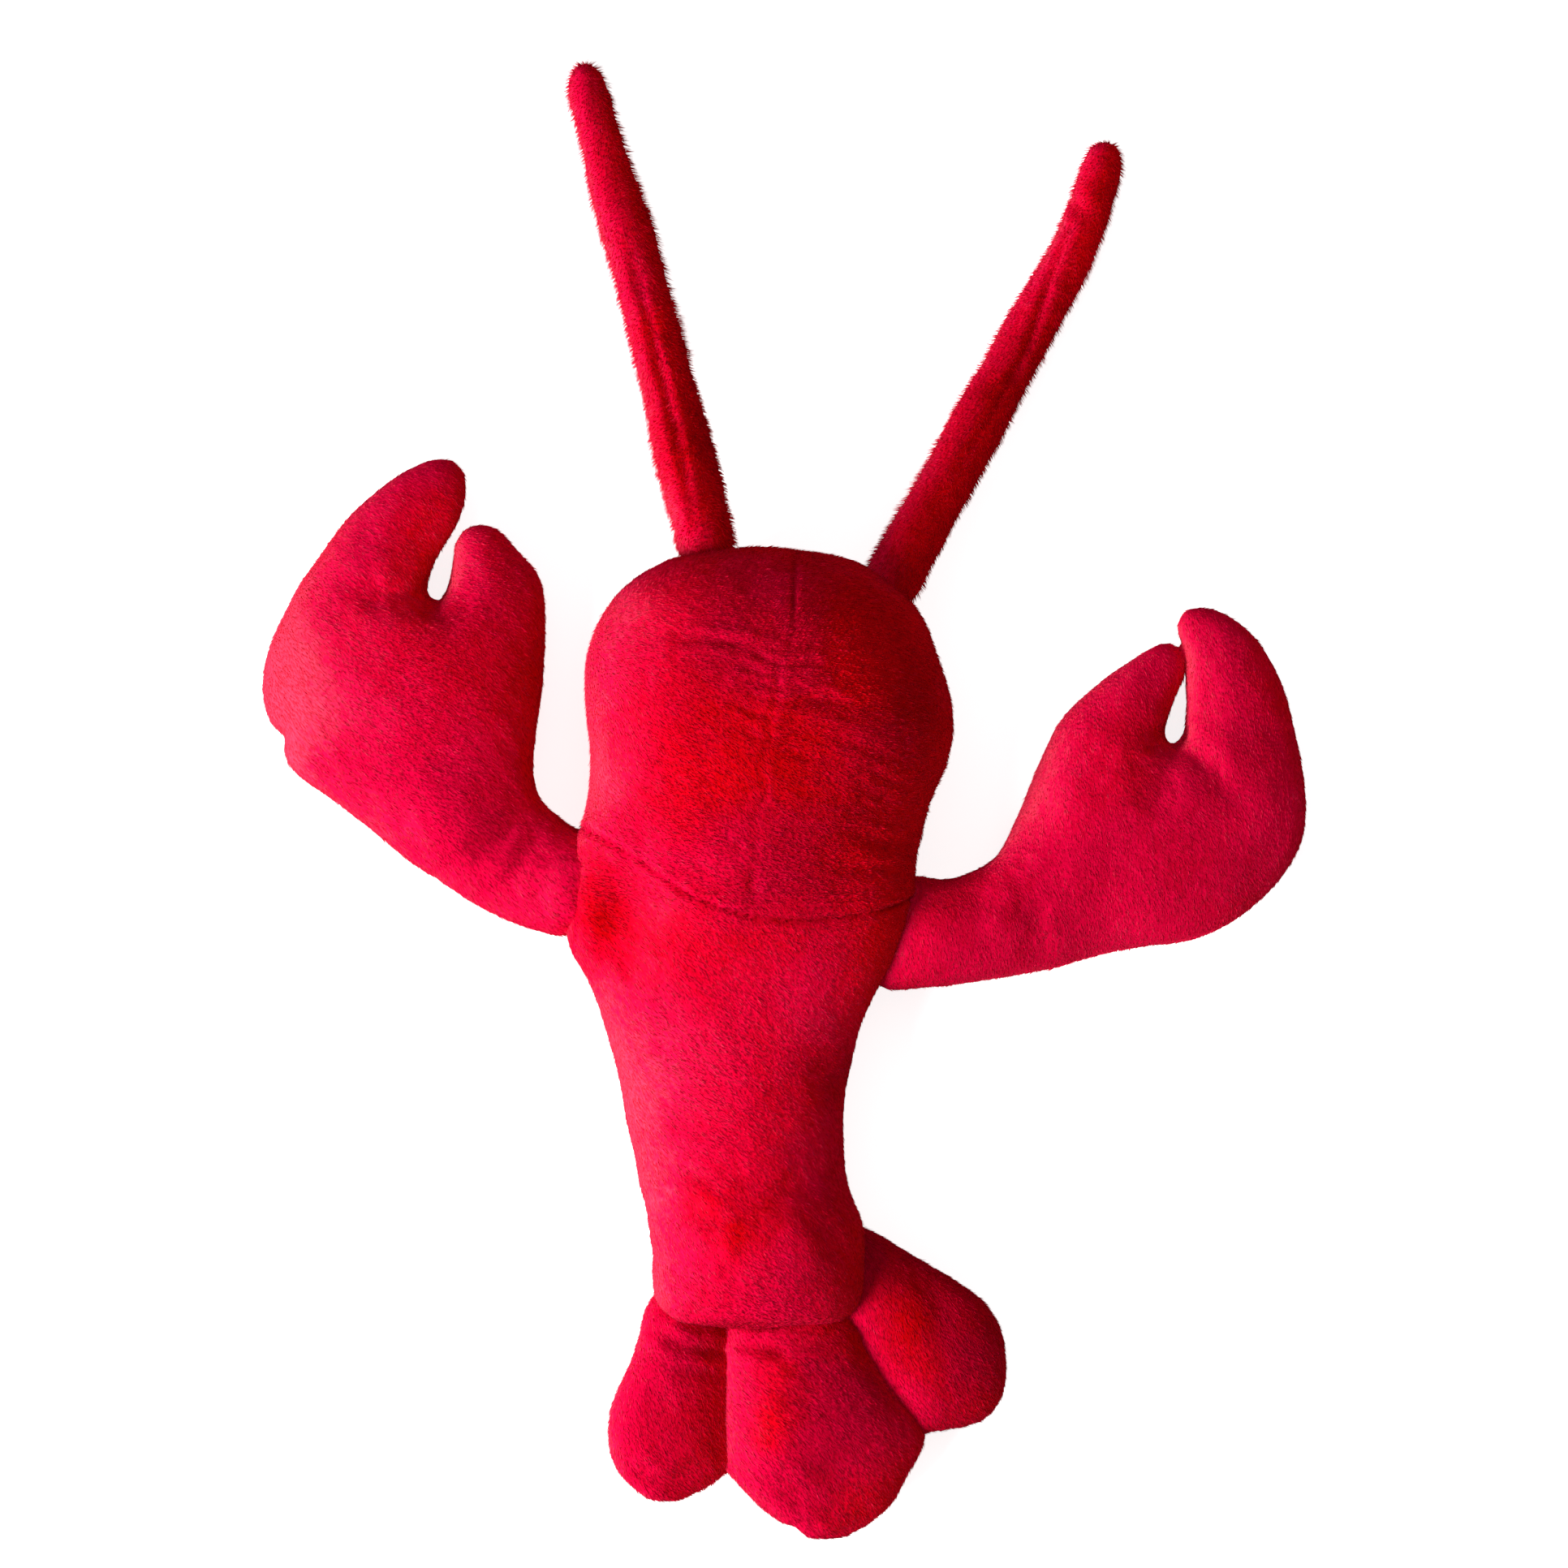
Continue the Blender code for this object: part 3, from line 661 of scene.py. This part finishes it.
def evaluated_copy(obj):
    """The object's mesh as its modifiers leave it."""
    depsgraph = bpy.context.evaluated_depsgraph_get()
    return bpy.data.meshes.new_from_object(obj.evaluated_get(depsgraph))


def apply_modifiers(obj):
    """Replaces the object's mesh by what its modifiers make of it."""
    made = evaluated_copy(obj)
    obj.modifiers.clear()
    obj.data = made


def rough_skin(name, pouch):
    """One even closed mesh round the solids that this pouch stands for."""
    joined = bmesh.new()
    for node in pouch.nodes:
        part = bmesh.new()
        part.from_mesh(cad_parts[node].data)
        bmesh.ops.remove_doubles(part, verts=part.verts, dist=1e-6)
        part.normal_update()
        if len(pouch.nodes) > 1:
            for vertex in part.verts:
                vertex.co += vertex.normal * OVERLAP
        grown = bpy.data.meshes.new(node + "_grown")
        part.to_mesh(grown)
        part.free()
        joined.from_mesh(grown)
    mesh = bpy.data.meshes.new(name)
    joined.to_mesh(mesh)
    joined.free()
    skin = new_object(name, mesh)
    remesh = skin.modifiers.new("even", "REMESH")
    remesh.mode = "VOXEL"
    remesh.voxel_size = pouch.voxel
    apply_modifiers(skin)
    set_points(skin.data, smoothed(points_of(skin.data), edges_of(skin.data), FACET_PASSES))
    points = points_of(skin.data) - normals_of(skin.data) * INSET
    points[:, 2] = np.maximum(points[:, 2], REST_HEIGHT)
    set_points(skin.data, points)
    return skin


def edge_seam(pouch, points, normals):
    """How far points go in along the seam between the upper and the lower panel."""
    wavering = layered(points, EDGE_SEAM_WAVERS)
    away = (normals[:, 2] - pouch.edge - wavering) / EDGE_SEAM_WIDTH
    return EDGE_SEAM_DEPTH * np.exp(-(away**2))


def sculpt(name, pouch, skin):
    """Presses the seams, gathers, creases and dents in, and adds the stuffing's unevenness."""
    points = points_of(skin.data)
    normals = normals_of(skin.data)
    plan = points[:, :2] / MM
    facing_up = np.clip(normals[:, 2] * UPWARD[0] + UPWARD[1], 0, 1)
    push = np.zeros(len(points))
    for i, crease in enumerate(CREASES[name]):
        push += crease_push(crease, plan, i) * MM
    push *= facing_up
    for dent in DENTS.get(name, ()):
        away = np.linalg.norm(plan - dent.place, axis=1) / dent.reach
        push += dent.depth * MM * np.exp(-(away**2))
    for lift in LIFTS.get(name, ()):
        away = np.linalg.norm((plan - lift.place) / lift.reach, axis=1)
        points[:, 2] += lift.height * MM * np.exp(-(away**2)) * facing_up
    push += edge_seam(pouch, points, normals)
    points += normals * (layered(points, UNEVEN) - push)[:, None]
    points[:, 2] = np.maximum(points[:, 2], REST_HEIGHT)
    set_points(skin.data, points)


def tree_of(nodes):
    """A search tree of the faces of these solids."""
    corners, faces = [], []
    for node in nodes:
        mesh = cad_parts[node].data
        first = len(corners)
        corners += [vertex.co.copy() for vertex in mesh.vertices]
        faces += [[first + i for i in face.vertices] for face in mesh.polygons]
    return BVHTree.FromPolygons(corners, faces)


def sew_on(name, pouch, skin):
    """Pulls the cloth that meets another pouch on into it, as a sewn end goes."""
    tree = tree_of(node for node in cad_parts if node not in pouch.nodes)
    deeper = SEWN_DEEPER.get(name, 1.0)
    within, fades, bite = deeper * SEWN_WITHIN, deeper * SEWN_FADES, deeper * SEWN_BITE
    points = points_of(skin.data)
    for i, point in enumerate(points):
        place, normal, _, away = tree.find_nearest(Vector(point), fades)
        if place is None:
            continue
        if (Vector(point) - place).dot(normal) > 0:
            fade = min(max((away - within) / (fades - within), 0), 1)
            towards = (np.array(place) - point) / max(away, 1e-9)
            points[i] += towards * (away + bite) * (1 - fade * fade * (3 - 2 * fade))
        else:
            points[i] -= np.array(normal) * max(0, bite - away)
    points[:, 2] = np.maximum(points[:, 2], REST_HEIGHT)
    set_points(skin.data, points)


def triangles_of(mesh):
    """The three point numbers of each triangle."""
    mesh.calc_loop_triangles()
    flat = np.empty(len(mesh.loop_triangles) * 3, np.int32)
    mesh.loop_triangles.foreach_get("vertices", flat)
    return flat.reshape(-1, 3)


def unit(vectors):
    """The vectors at length one."""
    return vectors / np.maximum(np.linalg.norm(vectors, axis=1, keepdims=True), 1e-12)


def roots_on(mesh, random):
    """Places all over a mesh, with the normal there, denser on its upper side."""
    points, normals = points_of(mesh), normals_of(mesh)
    corners = triangles_of(mesh)
    a, b, c = (points[corners[:, k]] for k in range(3))
    area = np.linalg.norm(np.cross(b - a, c - a), axis=1) / 2
    upward = normals[corners].mean(1)[:, 2]
    density = np.where(upward > UPPER_SIDE, FULL_DENSITY, SIDE_DENSITY)
    density = np.where(upward > SIDES, density, UNDER_DENSITY)
    resting = (a[:, 2] + b[:, 2] + c[:, 2]) / 3 < BARE_BELOW
    density = np.where(resting, 0.0, density)
    expected = area * density
    count = np.floor(expected + random.random(len(area))).astype(int)
    chosen = np.repeat(np.arange(len(area)), count)
    u, v = random.random(len(chosen)), random.random(len(chosen))
    over = u + v > 1
    u[over], v[over] = 1 - u[over], 1 - v[over]
    weights = np.stack([1 - u - v, u, v], axis=1)[..., None]
    return (
        (points[corners[chosen]] * weights).sum(1),
        unit((normals[corners[chosen]] * weights).sum(1)),
    )


def turned(vectors, axes, angles):
    """Turns each vector about its own axis, which is at right angles to it."""
    cos, sin = np.cos(angles)[:, None], np.sin(angles)[:, None]
    return vectors * cos + np.cross(axes, vectors) * sin


def lay_of(name, pouch, roots):
    """The way that the pile is brushed at each root, before it is laid on the cloth, and its angle."""
    brushed = np.tile([*pouch.lay.nap, 0.0], (len(roots), 1))
    degrees = np.full(len(roots), float(pouch.lay.degrees))
    if name == "torso":
        head = roots[:, 1] > HEAD_FROM
        right = roots[:, 0] > HEAD_SEAM_X
        for panel, lay in ((head & right, HEAD_RIGHT), (head & ~right, HEAD_LEFT)):
            brushed[panel, :2] = lay.nap
            degrees[panel] = lay.degrees
    return unit(brushed), np.radians(degrees)


def seam_closeness(name, roots, normals):
    """How close each root is to a stitched seam, from 0 to 1."""
    closeness = np.zeros(len(roots))
    plan = roots[:, :2] / MM
    for crease in (crease for crease in CREASES[name] if crease.dark):
        line, _ = evenly_along(crease.points, SEAM_STEP)
        low, high = line.min(0) - SEAM_ENDS, line.max(0) + SEAM_ENDS
        inside = ((plan > low) & (plan < high)).all(axis=1)
        near = np.flatnonzero(inside & (normals[:, 2] > 0))
        _, away = nearest_along(line, plan[near])
        near_line = crease.dark * np.exp(-((away / SEAM_REACH) ** 2))
        closeness[near] = np.maximum(closeness[near], near_line)
    return closeness


def clumps(roots, brushed, seed):
    """Noise drawn out along the pile, as its strands cling together in small streaks."""
    along, across = brushed[:, 0], brushed[:, 1]
    u = roots[:, 0] * along + roots[:, 1] * across
    v = roots[:, 1] * along - roots[:, 0] * across
    return noise(np.column_stack([u, v, roots[:, 2]]) * CLUMP_SHAPE, CLUMP_SIZE, seed)


def spikes(name, pouch, skin, random, seed):
    """The strands' corners, each one a thin closed spike: left, right, ridge and tip.

    The other results are each strand's root, normal, clump and closeness to a seam.
    """
    roots, normals = roots_on(skin.data, random)
    closeness = seam_closeness(name, roots, normals)
    stands = random.random(len(roots)) > SEAM_THINS * closeness
    roots, normals, closeness = roots[stands], normals[stands], closeness[stands]
    count = len(roots)
    brushed, angle = lay_of(name, pouch, roots)
    clump = clumps(roots, brushed, seed + 8)
    along = unit(brushed - normals * (normals * brushed).sum(1, keepdims=True))
    swirl = layered(roots, SWIRL, seed) + CLUMP_TURNS * clump
    along = turned(along, normals, swirl + random.normal(0, EACH_TURNS, count))
    lift = angle * (1 + layered(roots, LIFT_VARIES, seed) + CLUMP_LIFTS * clump)
    lift = np.clip(lift + random.normal(0, EACH_LIFTS, count), *LIFT_RANGE)[:, None]
    direction = along * np.cos(lift) + normals * np.sin(lift)
    across = unit(np.cross(direction, normals))
    across = turned(across, direction, random.normal(0, EACH_ROLLS, count))
    above = np.cross(across, direction)
    length = (1 + CLUMP_LENGTHENS * clump) * random.uniform(*LENGTHS, count)
    half = STRAND_WIDTH / 2 * random.uniform(*WIDTHS, count)[:, None]
    start = roots - normals * STRAND_SINK
    corners = np.stack(
        [start - across * half, start + across * half, start + above * half,
         start + direction * (pouch.pile * length[:, None])], axis=1
    )
    corners[..., 2] = np.maximum(corners[..., 2], REST_HEIGHT)
    return corners, roots, normals, clump, closeness


def shades(name, pouch, places, seed):
    """How light the plush is at these places, and how far it leans to crimson.

    Sides that face left, towards the key lamp, are painted lighter and more crimson as painted sheen,
    and sides turned away from it are painted more scarlet as painted shade.
    """
    roots, normals, clump, closeness = places
    # Painted sheen on sides that face the key lamp, and painted scarlet shade on those turned away from
    # it
    facing_painted_light = -(normals * PAINTED_LIGHT_TRAVELS).sum(1)
    light = (pouch.light + layered(roots, LIGHT_VARIES, seed) + CLUMP_LIGHT * clump
             - SEAM_DARKENS * closeness + PAINTED_SHEEN_LIGHT * np.maximum(facing_painted_light, 0))
    crimson = (pouch.crimson + CRIMSON_AREAS * np.tanh(2 * noise(roots, CRIMSON_AREA, seed + 6))
               + layered(roots, CRIMSON_VARIES, seed) + CLUMP_CRIMSON * clump
               + PAINTED_SHEEN_CRIMSON * facing_painted_light)
    plan = roots[:, :2] / MM
    ragged = RAGGED * np.column_stack([noise(roots, RAGGED_SIZE, seed + k) for k in (9, 10)])
    for patch in PATCHES[name]:
        inside = np.exp(-((np.linalg.norm(plan + ragged - patch.place, axis=1) / patch.reach) ** 2))
        light += patch.light * inside
        crimson += patch.crimson * inside
    return light, crimson


def clipped(shade):
    """A shade kept just inside the range from 0 to 1."""
    return np.clip(shade, 0.01, 0.99)


def strand_shades(name, pouch, places, random, seed):
    """The shades of each strand's corners: darker at the root as painted shade and lighter at the tip
    as a painted highlight, with some strands painted paler as glints.
    """
    light, crimson = shades(name, pouch, places, seed)
    count = len(light)
    # Each strand's own random tone, and a few strands painted paler as glints, painted highlights
    light += random.normal(0, EACH_LIGHT, count) + PALE_LIGHT * (random.random(count) < PALE_STRANDS)
    crimson += random.normal(0, EACH_CRIMSON, count)
    return (clipped(light[:, None] + np.array(ALONG_STRAND)),
            clipped(crimson[:, None] + np.array(ACROSS_STRAND)))


def add_shades(mesh, tone, hue):
    """Stores the shades of the mesh's points, for the materials to read."""
    for label, values in (("tone", tone), ("hue", hue)):
        stored = mesh.attributes.new(label, "FLOAT", "POINT")
        stored.data.foreach_set("value", values.astype(np.float32).ravel())


def shade_skin(name, pouch, skin, seed):
    """Gives the cloth under the strands their shades, a little darker as painted shade under the pile.
    """
    points, normals = points_of(skin.data), normals_of(skin.data)
    brushed, _ = lay_of(name, pouch, points)
    places = (points, normals, clumps(points, brushed, seed + 8),
              seam_closeness(name, points, normals))
    light, crimson = shades(name, pouch, places, seed)
    add_shades(skin.data, clipped(light - UNDER_STRANDS), clipped(crimson))


def pile_mesh(name, corners, tone, hue, material):
    """A piece of pile from its spikes, with their shades as attributes and as a map."""
    count = len(corners)
    faces = np.array([(0, 1, 2), (0, 3, 1), (0, 2, 3), (1, 3, 2)])
    loops = (4 * np.arange(count)[:, None] + faces.ravel()).ravel()
    mesh = bpy.data.meshes.new(name)
    mesh.vertices.add(count * 4)
    mesh.loops.add(count * 12)
    mesh.polygons.add(count * 4)
    mesh.vertices.foreach_set("co", corners.astype(np.float32).ravel())
    mesh.loops.foreach_set("vertex_index", loops.astype(np.int32))
    mesh.polygons.foreach_set("loop_start", np.arange(0, count * 12, 3, dtype=np.int32))
    mesh.update(calc_edges=True)
    add_shades(mesh, tone, hue)
    spread = np.stack([tone.ravel()[loops], hue.ravel()[loops]], axis=1)
    mesh.uv_layers.new(name=UV_MAP).uv.foreach_set("vector", spread.astype(np.float32).ravel())
    mesh.materials.append(material)
    return new_object(name, mesh)


def pile_of(name, pouch, skin, material, seed):
    """The plush's strands on one pouch, brushed the way its pile lies, in one or two pieces."""
    random = np.random.default_rng(seed)
    corners, *places = spikes(name, pouch, skin, random, seed)
    tone, hue = strand_shades(name, pouch, places, random, seed)
    pieces = math.ceil(len(corners) / MOST_STRANDS)
    order = np.argsort(corners[:, 0, 1])
    made = []
    for i, chosen in enumerate(np.array_split(order, pieces)):
        label = f"{name}_pile_{i + 1}" if pieces > 1 else f"{name}_pile"
        made.append(pile_mesh(label, corners[chosen], tone[chosen], hue[chosen], material))
    return made


def plush_shader(name, roughness, sheen):
    """A plush surface with no shine, and with the pink sheen that pile has at a grazing angle."""
    material = bpy.data.materials.new(name)
    material.use_nodes = True
    shader = material.node_tree.nodes["Principled BSDF"]
    shader.inputs["Roughness"].default_value = roughness
    shader.inputs["Specular IOR Level"].default_value = 0.0
    shader.inputs["Sheen Weight"].default_value = sheen
    shader.inputs["Sheen Roughness"].default_value = 0.35
    shader.inputs["Sheen Tint"].default_value = (1.0, 0.10, 0.17, 1.0)
    return material


def ramp_of(nodes, stops):
    """A colour ramp with these places and colours."""
    ramp = nodes.new("ShaderNodeValToRGB")
    elements = ramp.color_ramp.elements
    while len(elements) < len(stops):
        elements.new(0.5)
    for element, (position, colour) in zip(elements, stops):
        element.position = position
        element.color = (*colour, 1)
    return ramp


SCARLET = (
    (0.00, (0.390, 0.0002, 0.0012)),
    (0.45, (0.740, 0.0004, 0.0045)),
    (0.75, (0.880, 0.0015, 0.0110)),
    (1.00, (1.000, 0.0150, 0.0350)),
)
CRIMSON = (
    (0.00, (0.390, 0.0002, 0.0160)),
    (0.45, (0.740, 0.0010, 0.0450)),
    (0.75, (0.880, 0.0060, 0.0720)),
    (1.00, (1.000, 0.0520, 0.1200)),
)


def colour_socket(mix, name):
    """The colour input of this name on a Mix node, which has inputs of other kinds too."""
    return next(s for s in mix.inputs if s.name == name and s.type == "RGBA")


def colour_result(mix):
    """The colour output of a Mix node."""
    return next(s for s in mix.outputs if s.type == "RGBA")


def attribute(nodes, name):
    """The value that the mesh stores under this name."""
    node = nodes.new("ShaderNodeAttribute")
    node.attribute_name = name
    return node.outputs["Fac"]


def colour_by(material, tone):
    """Colours a material by this tone and by its mesh's hue, from scarlet to crimson."""
    nodes, links = material.node_tree.nodes, material.node_tree.links
    mix = nodes.new("ShaderNodeMix")
    mix.data_type = "RGBA"
    links.new(attribute(nodes, "hue"), mix.inputs["Factor"])
    for stops, socket in ((SCARLET, "A"), (CRIMSON, "B")):
        ramp = ramp_of(nodes, stops)
        links.new(tone, ramp.inputs["Fac"])
        links.new(ramp.outputs["Color"], colour_socket(mix, socket))
    links.new(colour_result(mix), nodes["Principled BSDF"].inputs["Base Color"])


def pile_material():
    """The strands: painted shade at the root and a painted highlight at the tip, some patches more
    crimson.
    """
    material = plush_shader("plush_pile", roughness=0.75, sheen=0.15)
    colour_by(material, attribute(material.node_tree.nodes, "tone"))
    return material


def noise_texture(nodes, links, scale, detail):
    """Noise in the object's own space."""
    place = nodes.new("ShaderNodeTexCoord")
    texture = nodes.new("ShaderNodeTexNoise")
    texture.inputs["Scale"].default_value = scale
    texture.inputs["Detail"].default_value = detail
    links.new(place.outputs["Object"], texture.inputs["Vector"])
    return texture.outputs["Fac"]


def backing():
    """The cloth under the strands: the strands' shades with fine specks and a rough surface."""
    material = plush_shader("plush_backing", roughness=0.9, sheen=0.15)
    nodes, links = material.node_tree.nodes, material.node_tree.links
    specks = nodes.new("ShaderNodeMapRange")
    specks.inputs["To Min"].default_value = -SPECKS
    specks.inputs["To Max"].default_value = SPECKS
    links.new(noise_texture(nodes, links, scale=700, detail=4), specks.inputs["Value"])
    speckled = nodes.new("ShaderNodeMath")
    speckled.operation = "ADD"
    links.new(attribute(nodes, "tone"), speckled.inputs[0])
    links.new(specks.outputs["Result"], speckled.inputs[1])
    colour_by(material, speckled.outputs[0])
    bump = nodes.new("ShaderNodeBump")
    bump.inputs["Strength"].default_value = 0.7
    bump.inputs["Distance"].default_value = 0.0008
    links.new(noise_texture(nodes, links, scale=900, detail=3), bump.inputs["Height"])
    links.new(bump.outputs["Normal"], nodes["Principled BSDF"].inputs["Normal"])
    return material


def area_light(lamp, target):
    """Puts up a lamp that faces the target."""
    data = bpy.data.lights.new(lamp.name, "AREA")
    data.shape = "DISK"
    data.size = lamp.size
    data.energy = lamp.power
    obj = new_object(lamp.name, data)
    obj.location = lamp.place
    obj.rotation_euler = (Vector(target) - Vector(lamp.place)).to_track_quat("-Z", "Y").to_euler()


def seen_directly(nodes, links):
    """One for rays from the camera and for those by way of gloss and glass, else nothing."""
    path = nodes.new("ShaderNodeLightPath")
    seen = path.outputs["Is Camera Ray"]
    for other in ("Is Glossy Ray", "Is Transmission Ray"):
        either = nodes.new("ShaderNodeMath")
        either.operation = "MAXIMUM"
        links.new(seen, either.inputs[0])
        links.new(path.outputs[other], either.inputs[1])
        seen = either.outputs[0]
    return seen


def floor():
    """A white floor, which shows as white and keeps a soft shadow."""
    mesh = bpy.data.meshes.new("floor")
    corners = [(FLOOR_HALF * x, FLOOR_HALF * y, 0) for x, y in ((-1, -1), (1, -1), (1, 1), (-1, 1))]
    mesh.from_pydata(corners, [], [(0, 1, 2, 3)])
    material = bpy.data.materials.new("floor")
    material.use_nodes = True
    nodes, links = material.node_tree.nodes, material.node_tree.links
    shader = nodes["Principled BSDF"]
    shader.inputs["Base Color"].default_value = (0.85, 0.85, 0.85, 1)
    shader.inputs["Roughness"].default_value = 1.0
    shader.inputs["Specular IOR Level"].default_value = 0.0
    shader.inputs["Emission Color"].default_value = (1, 1, 1, 1)
    white = nodes.new("ShaderNodeMath")
    white.operation = "MULTIPLY"
    white.inputs[1].default_value = FLOOR_GLOW
    links.new(seen_directly(nodes, links), white.inputs[0])
    links.new(white.outputs[0], shader.inputs["Emission Strength"])
    mesh.materials.append(material)
    return new_object("floor", mesh)


def world_light():
    """Even light from all round, which shows as white where it is seen."""
    world = bpy.data.worlds.new("studio")
    world.use_nodes = True
    nodes, links = world.node_tree.nodes, world.node_tree.links
    background = nodes["Background"]
    background.inputs["Color"].default_value = (1, 1, 1, 1)
    strength = nodes.new("ShaderNodeMapRange")
    strength.inputs["To Min"].default_value = WORLD_LIGHT
    strength.inputs["To Max"].default_value = 1.0
    links.new(seen_directly(nodes, links), strength.inputs["Value"])
    links.new(strength.outputs["Result"], background.inputs["Strength"])
    bpy.context.scene.world = world


def stage_and_light():
    """The floor, the lamps and the world's even light."""
    floor()
    for lamp in LAMPS:
        area_light(lamp, (*PHOTO_CENTRE, LAMPS_FACE))
    world_light()


def camera():
    """Straight down on the toy's back, far away with a long lens."""
    data = bpy.data.cameras.new("camera")
    data.lens = LENS
    data.sensor_width = SENSOR
    data.clip_end = 20
    eye = new_object("camera", data)
    height = FOCUS_HEIGHT + PHOTO_WIDTH / 2 / (SENSOR / 2 / LENS)
    eye.location = (*PHOTO_CENTRE, height)
    bpy.context.scene.camera = eye


def pin(skin, name):
    """A group of the points that stay: those that rest, and those that a seam holds."""
    points = points_of(skin.data)
    held = points[:, 2] < PINNED_BELOW
    for crease in CREASES[name]:
        if crease.stitch:
            line, _ = evenly_along(crease.points, LINE_STEP)
            _, away = nearest_along(line, points[:, :2] / MM)
            held |= (away < PINNED_NEAR_SEAM) & (normals_of(skin.data)[:, 2] > 0)
    group = skin.vertex_groups.new(name="held")
    group.add(np.flatnonzero(held).tolist(), 1.0, "REPLACE")
    return group.name


def simulate(skins):
    """Lets the stuffing press each pouch out, as far as CLOTH_CAP."""
    for name, skin in skins.items():
        cloth = skin.modifiers.new("stuffing", "CLOTH")
        cloth.settings.use_pressure = True
        cloth.settings.uniform_pressure_force = CLOTH_PRESSURE
        cloth.settings.effector_weights.gravity = 0
        cloth.settings.mass = CLOTH_MASS
        cloth.settings.vertex_group_mass = pin(skin, name)
        cloth.point_cache.frame_start = 1
        cloth.point_cache.frame_end = CLOTH_FRAMES
    for number in range(1, CLOTH_FRAMES + 1):
        bpy.context.scene.frame_set(number)
    for skin in skins.values():
        before = points_of(skin.data)
        moved = points_of(evaluated_copy(skin)) - before
        far = np.linalg.norm(moved, axis=1, keepdims=True)
        moved *= np.minimum(1, CLOTH_CAP / np.maximum(far, 1e-9))
        skin.modifiers.clear()
        skin.vertex_groups.clear()
        set_points(skin.data, before + moved)
    bpy.context.scene.frame_set(1)


def refine(skin):
    """Halves the size of the skin's faces."""
    finer = skin.modifiers.new("finer", "SUBSURF")
    finer.levels = finer.render_levels = 1
    apply_modifiers(skin)


def dress(name, pouch, skin, under, strands, seed):
    """Finishes a pouch's skin, covers it with pile, hangs both on the root and hides the solids that
    they stand for.
    """
    if name != "torso":
        sew_on(name, pouch, skin)
    if pouch.fine:
        refine(skin)
    sculpt(name, pouch, skin)
    shade_skin(name, pouch, skin, seed)
    skin.data.materials.clear()
    skin.data.materials.append(under)
    skin.data.shade_smooth()
    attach(skin, "root")
    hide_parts(*pouch.nodes)
    for pile in pile_of(name, pouch, skin, strands, seed):
        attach(pile, "root")


def main():
    """Makes the whole scene."""
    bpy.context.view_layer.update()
    bpy.context.scene.view_settings.view_transform = "Standard"
    skins = {name: rough_skin(name, pouch) for name, pouch in POUCHES.items()}
    simulate(skins)
    under, strands = backing(), pile_material()
    for number, (name, pouch) in enumerate(POUCHES.items()):
        dress(name, pouch, skins[name], under, strands, 100 * number)
    stage_and_light()
    camera()


main()
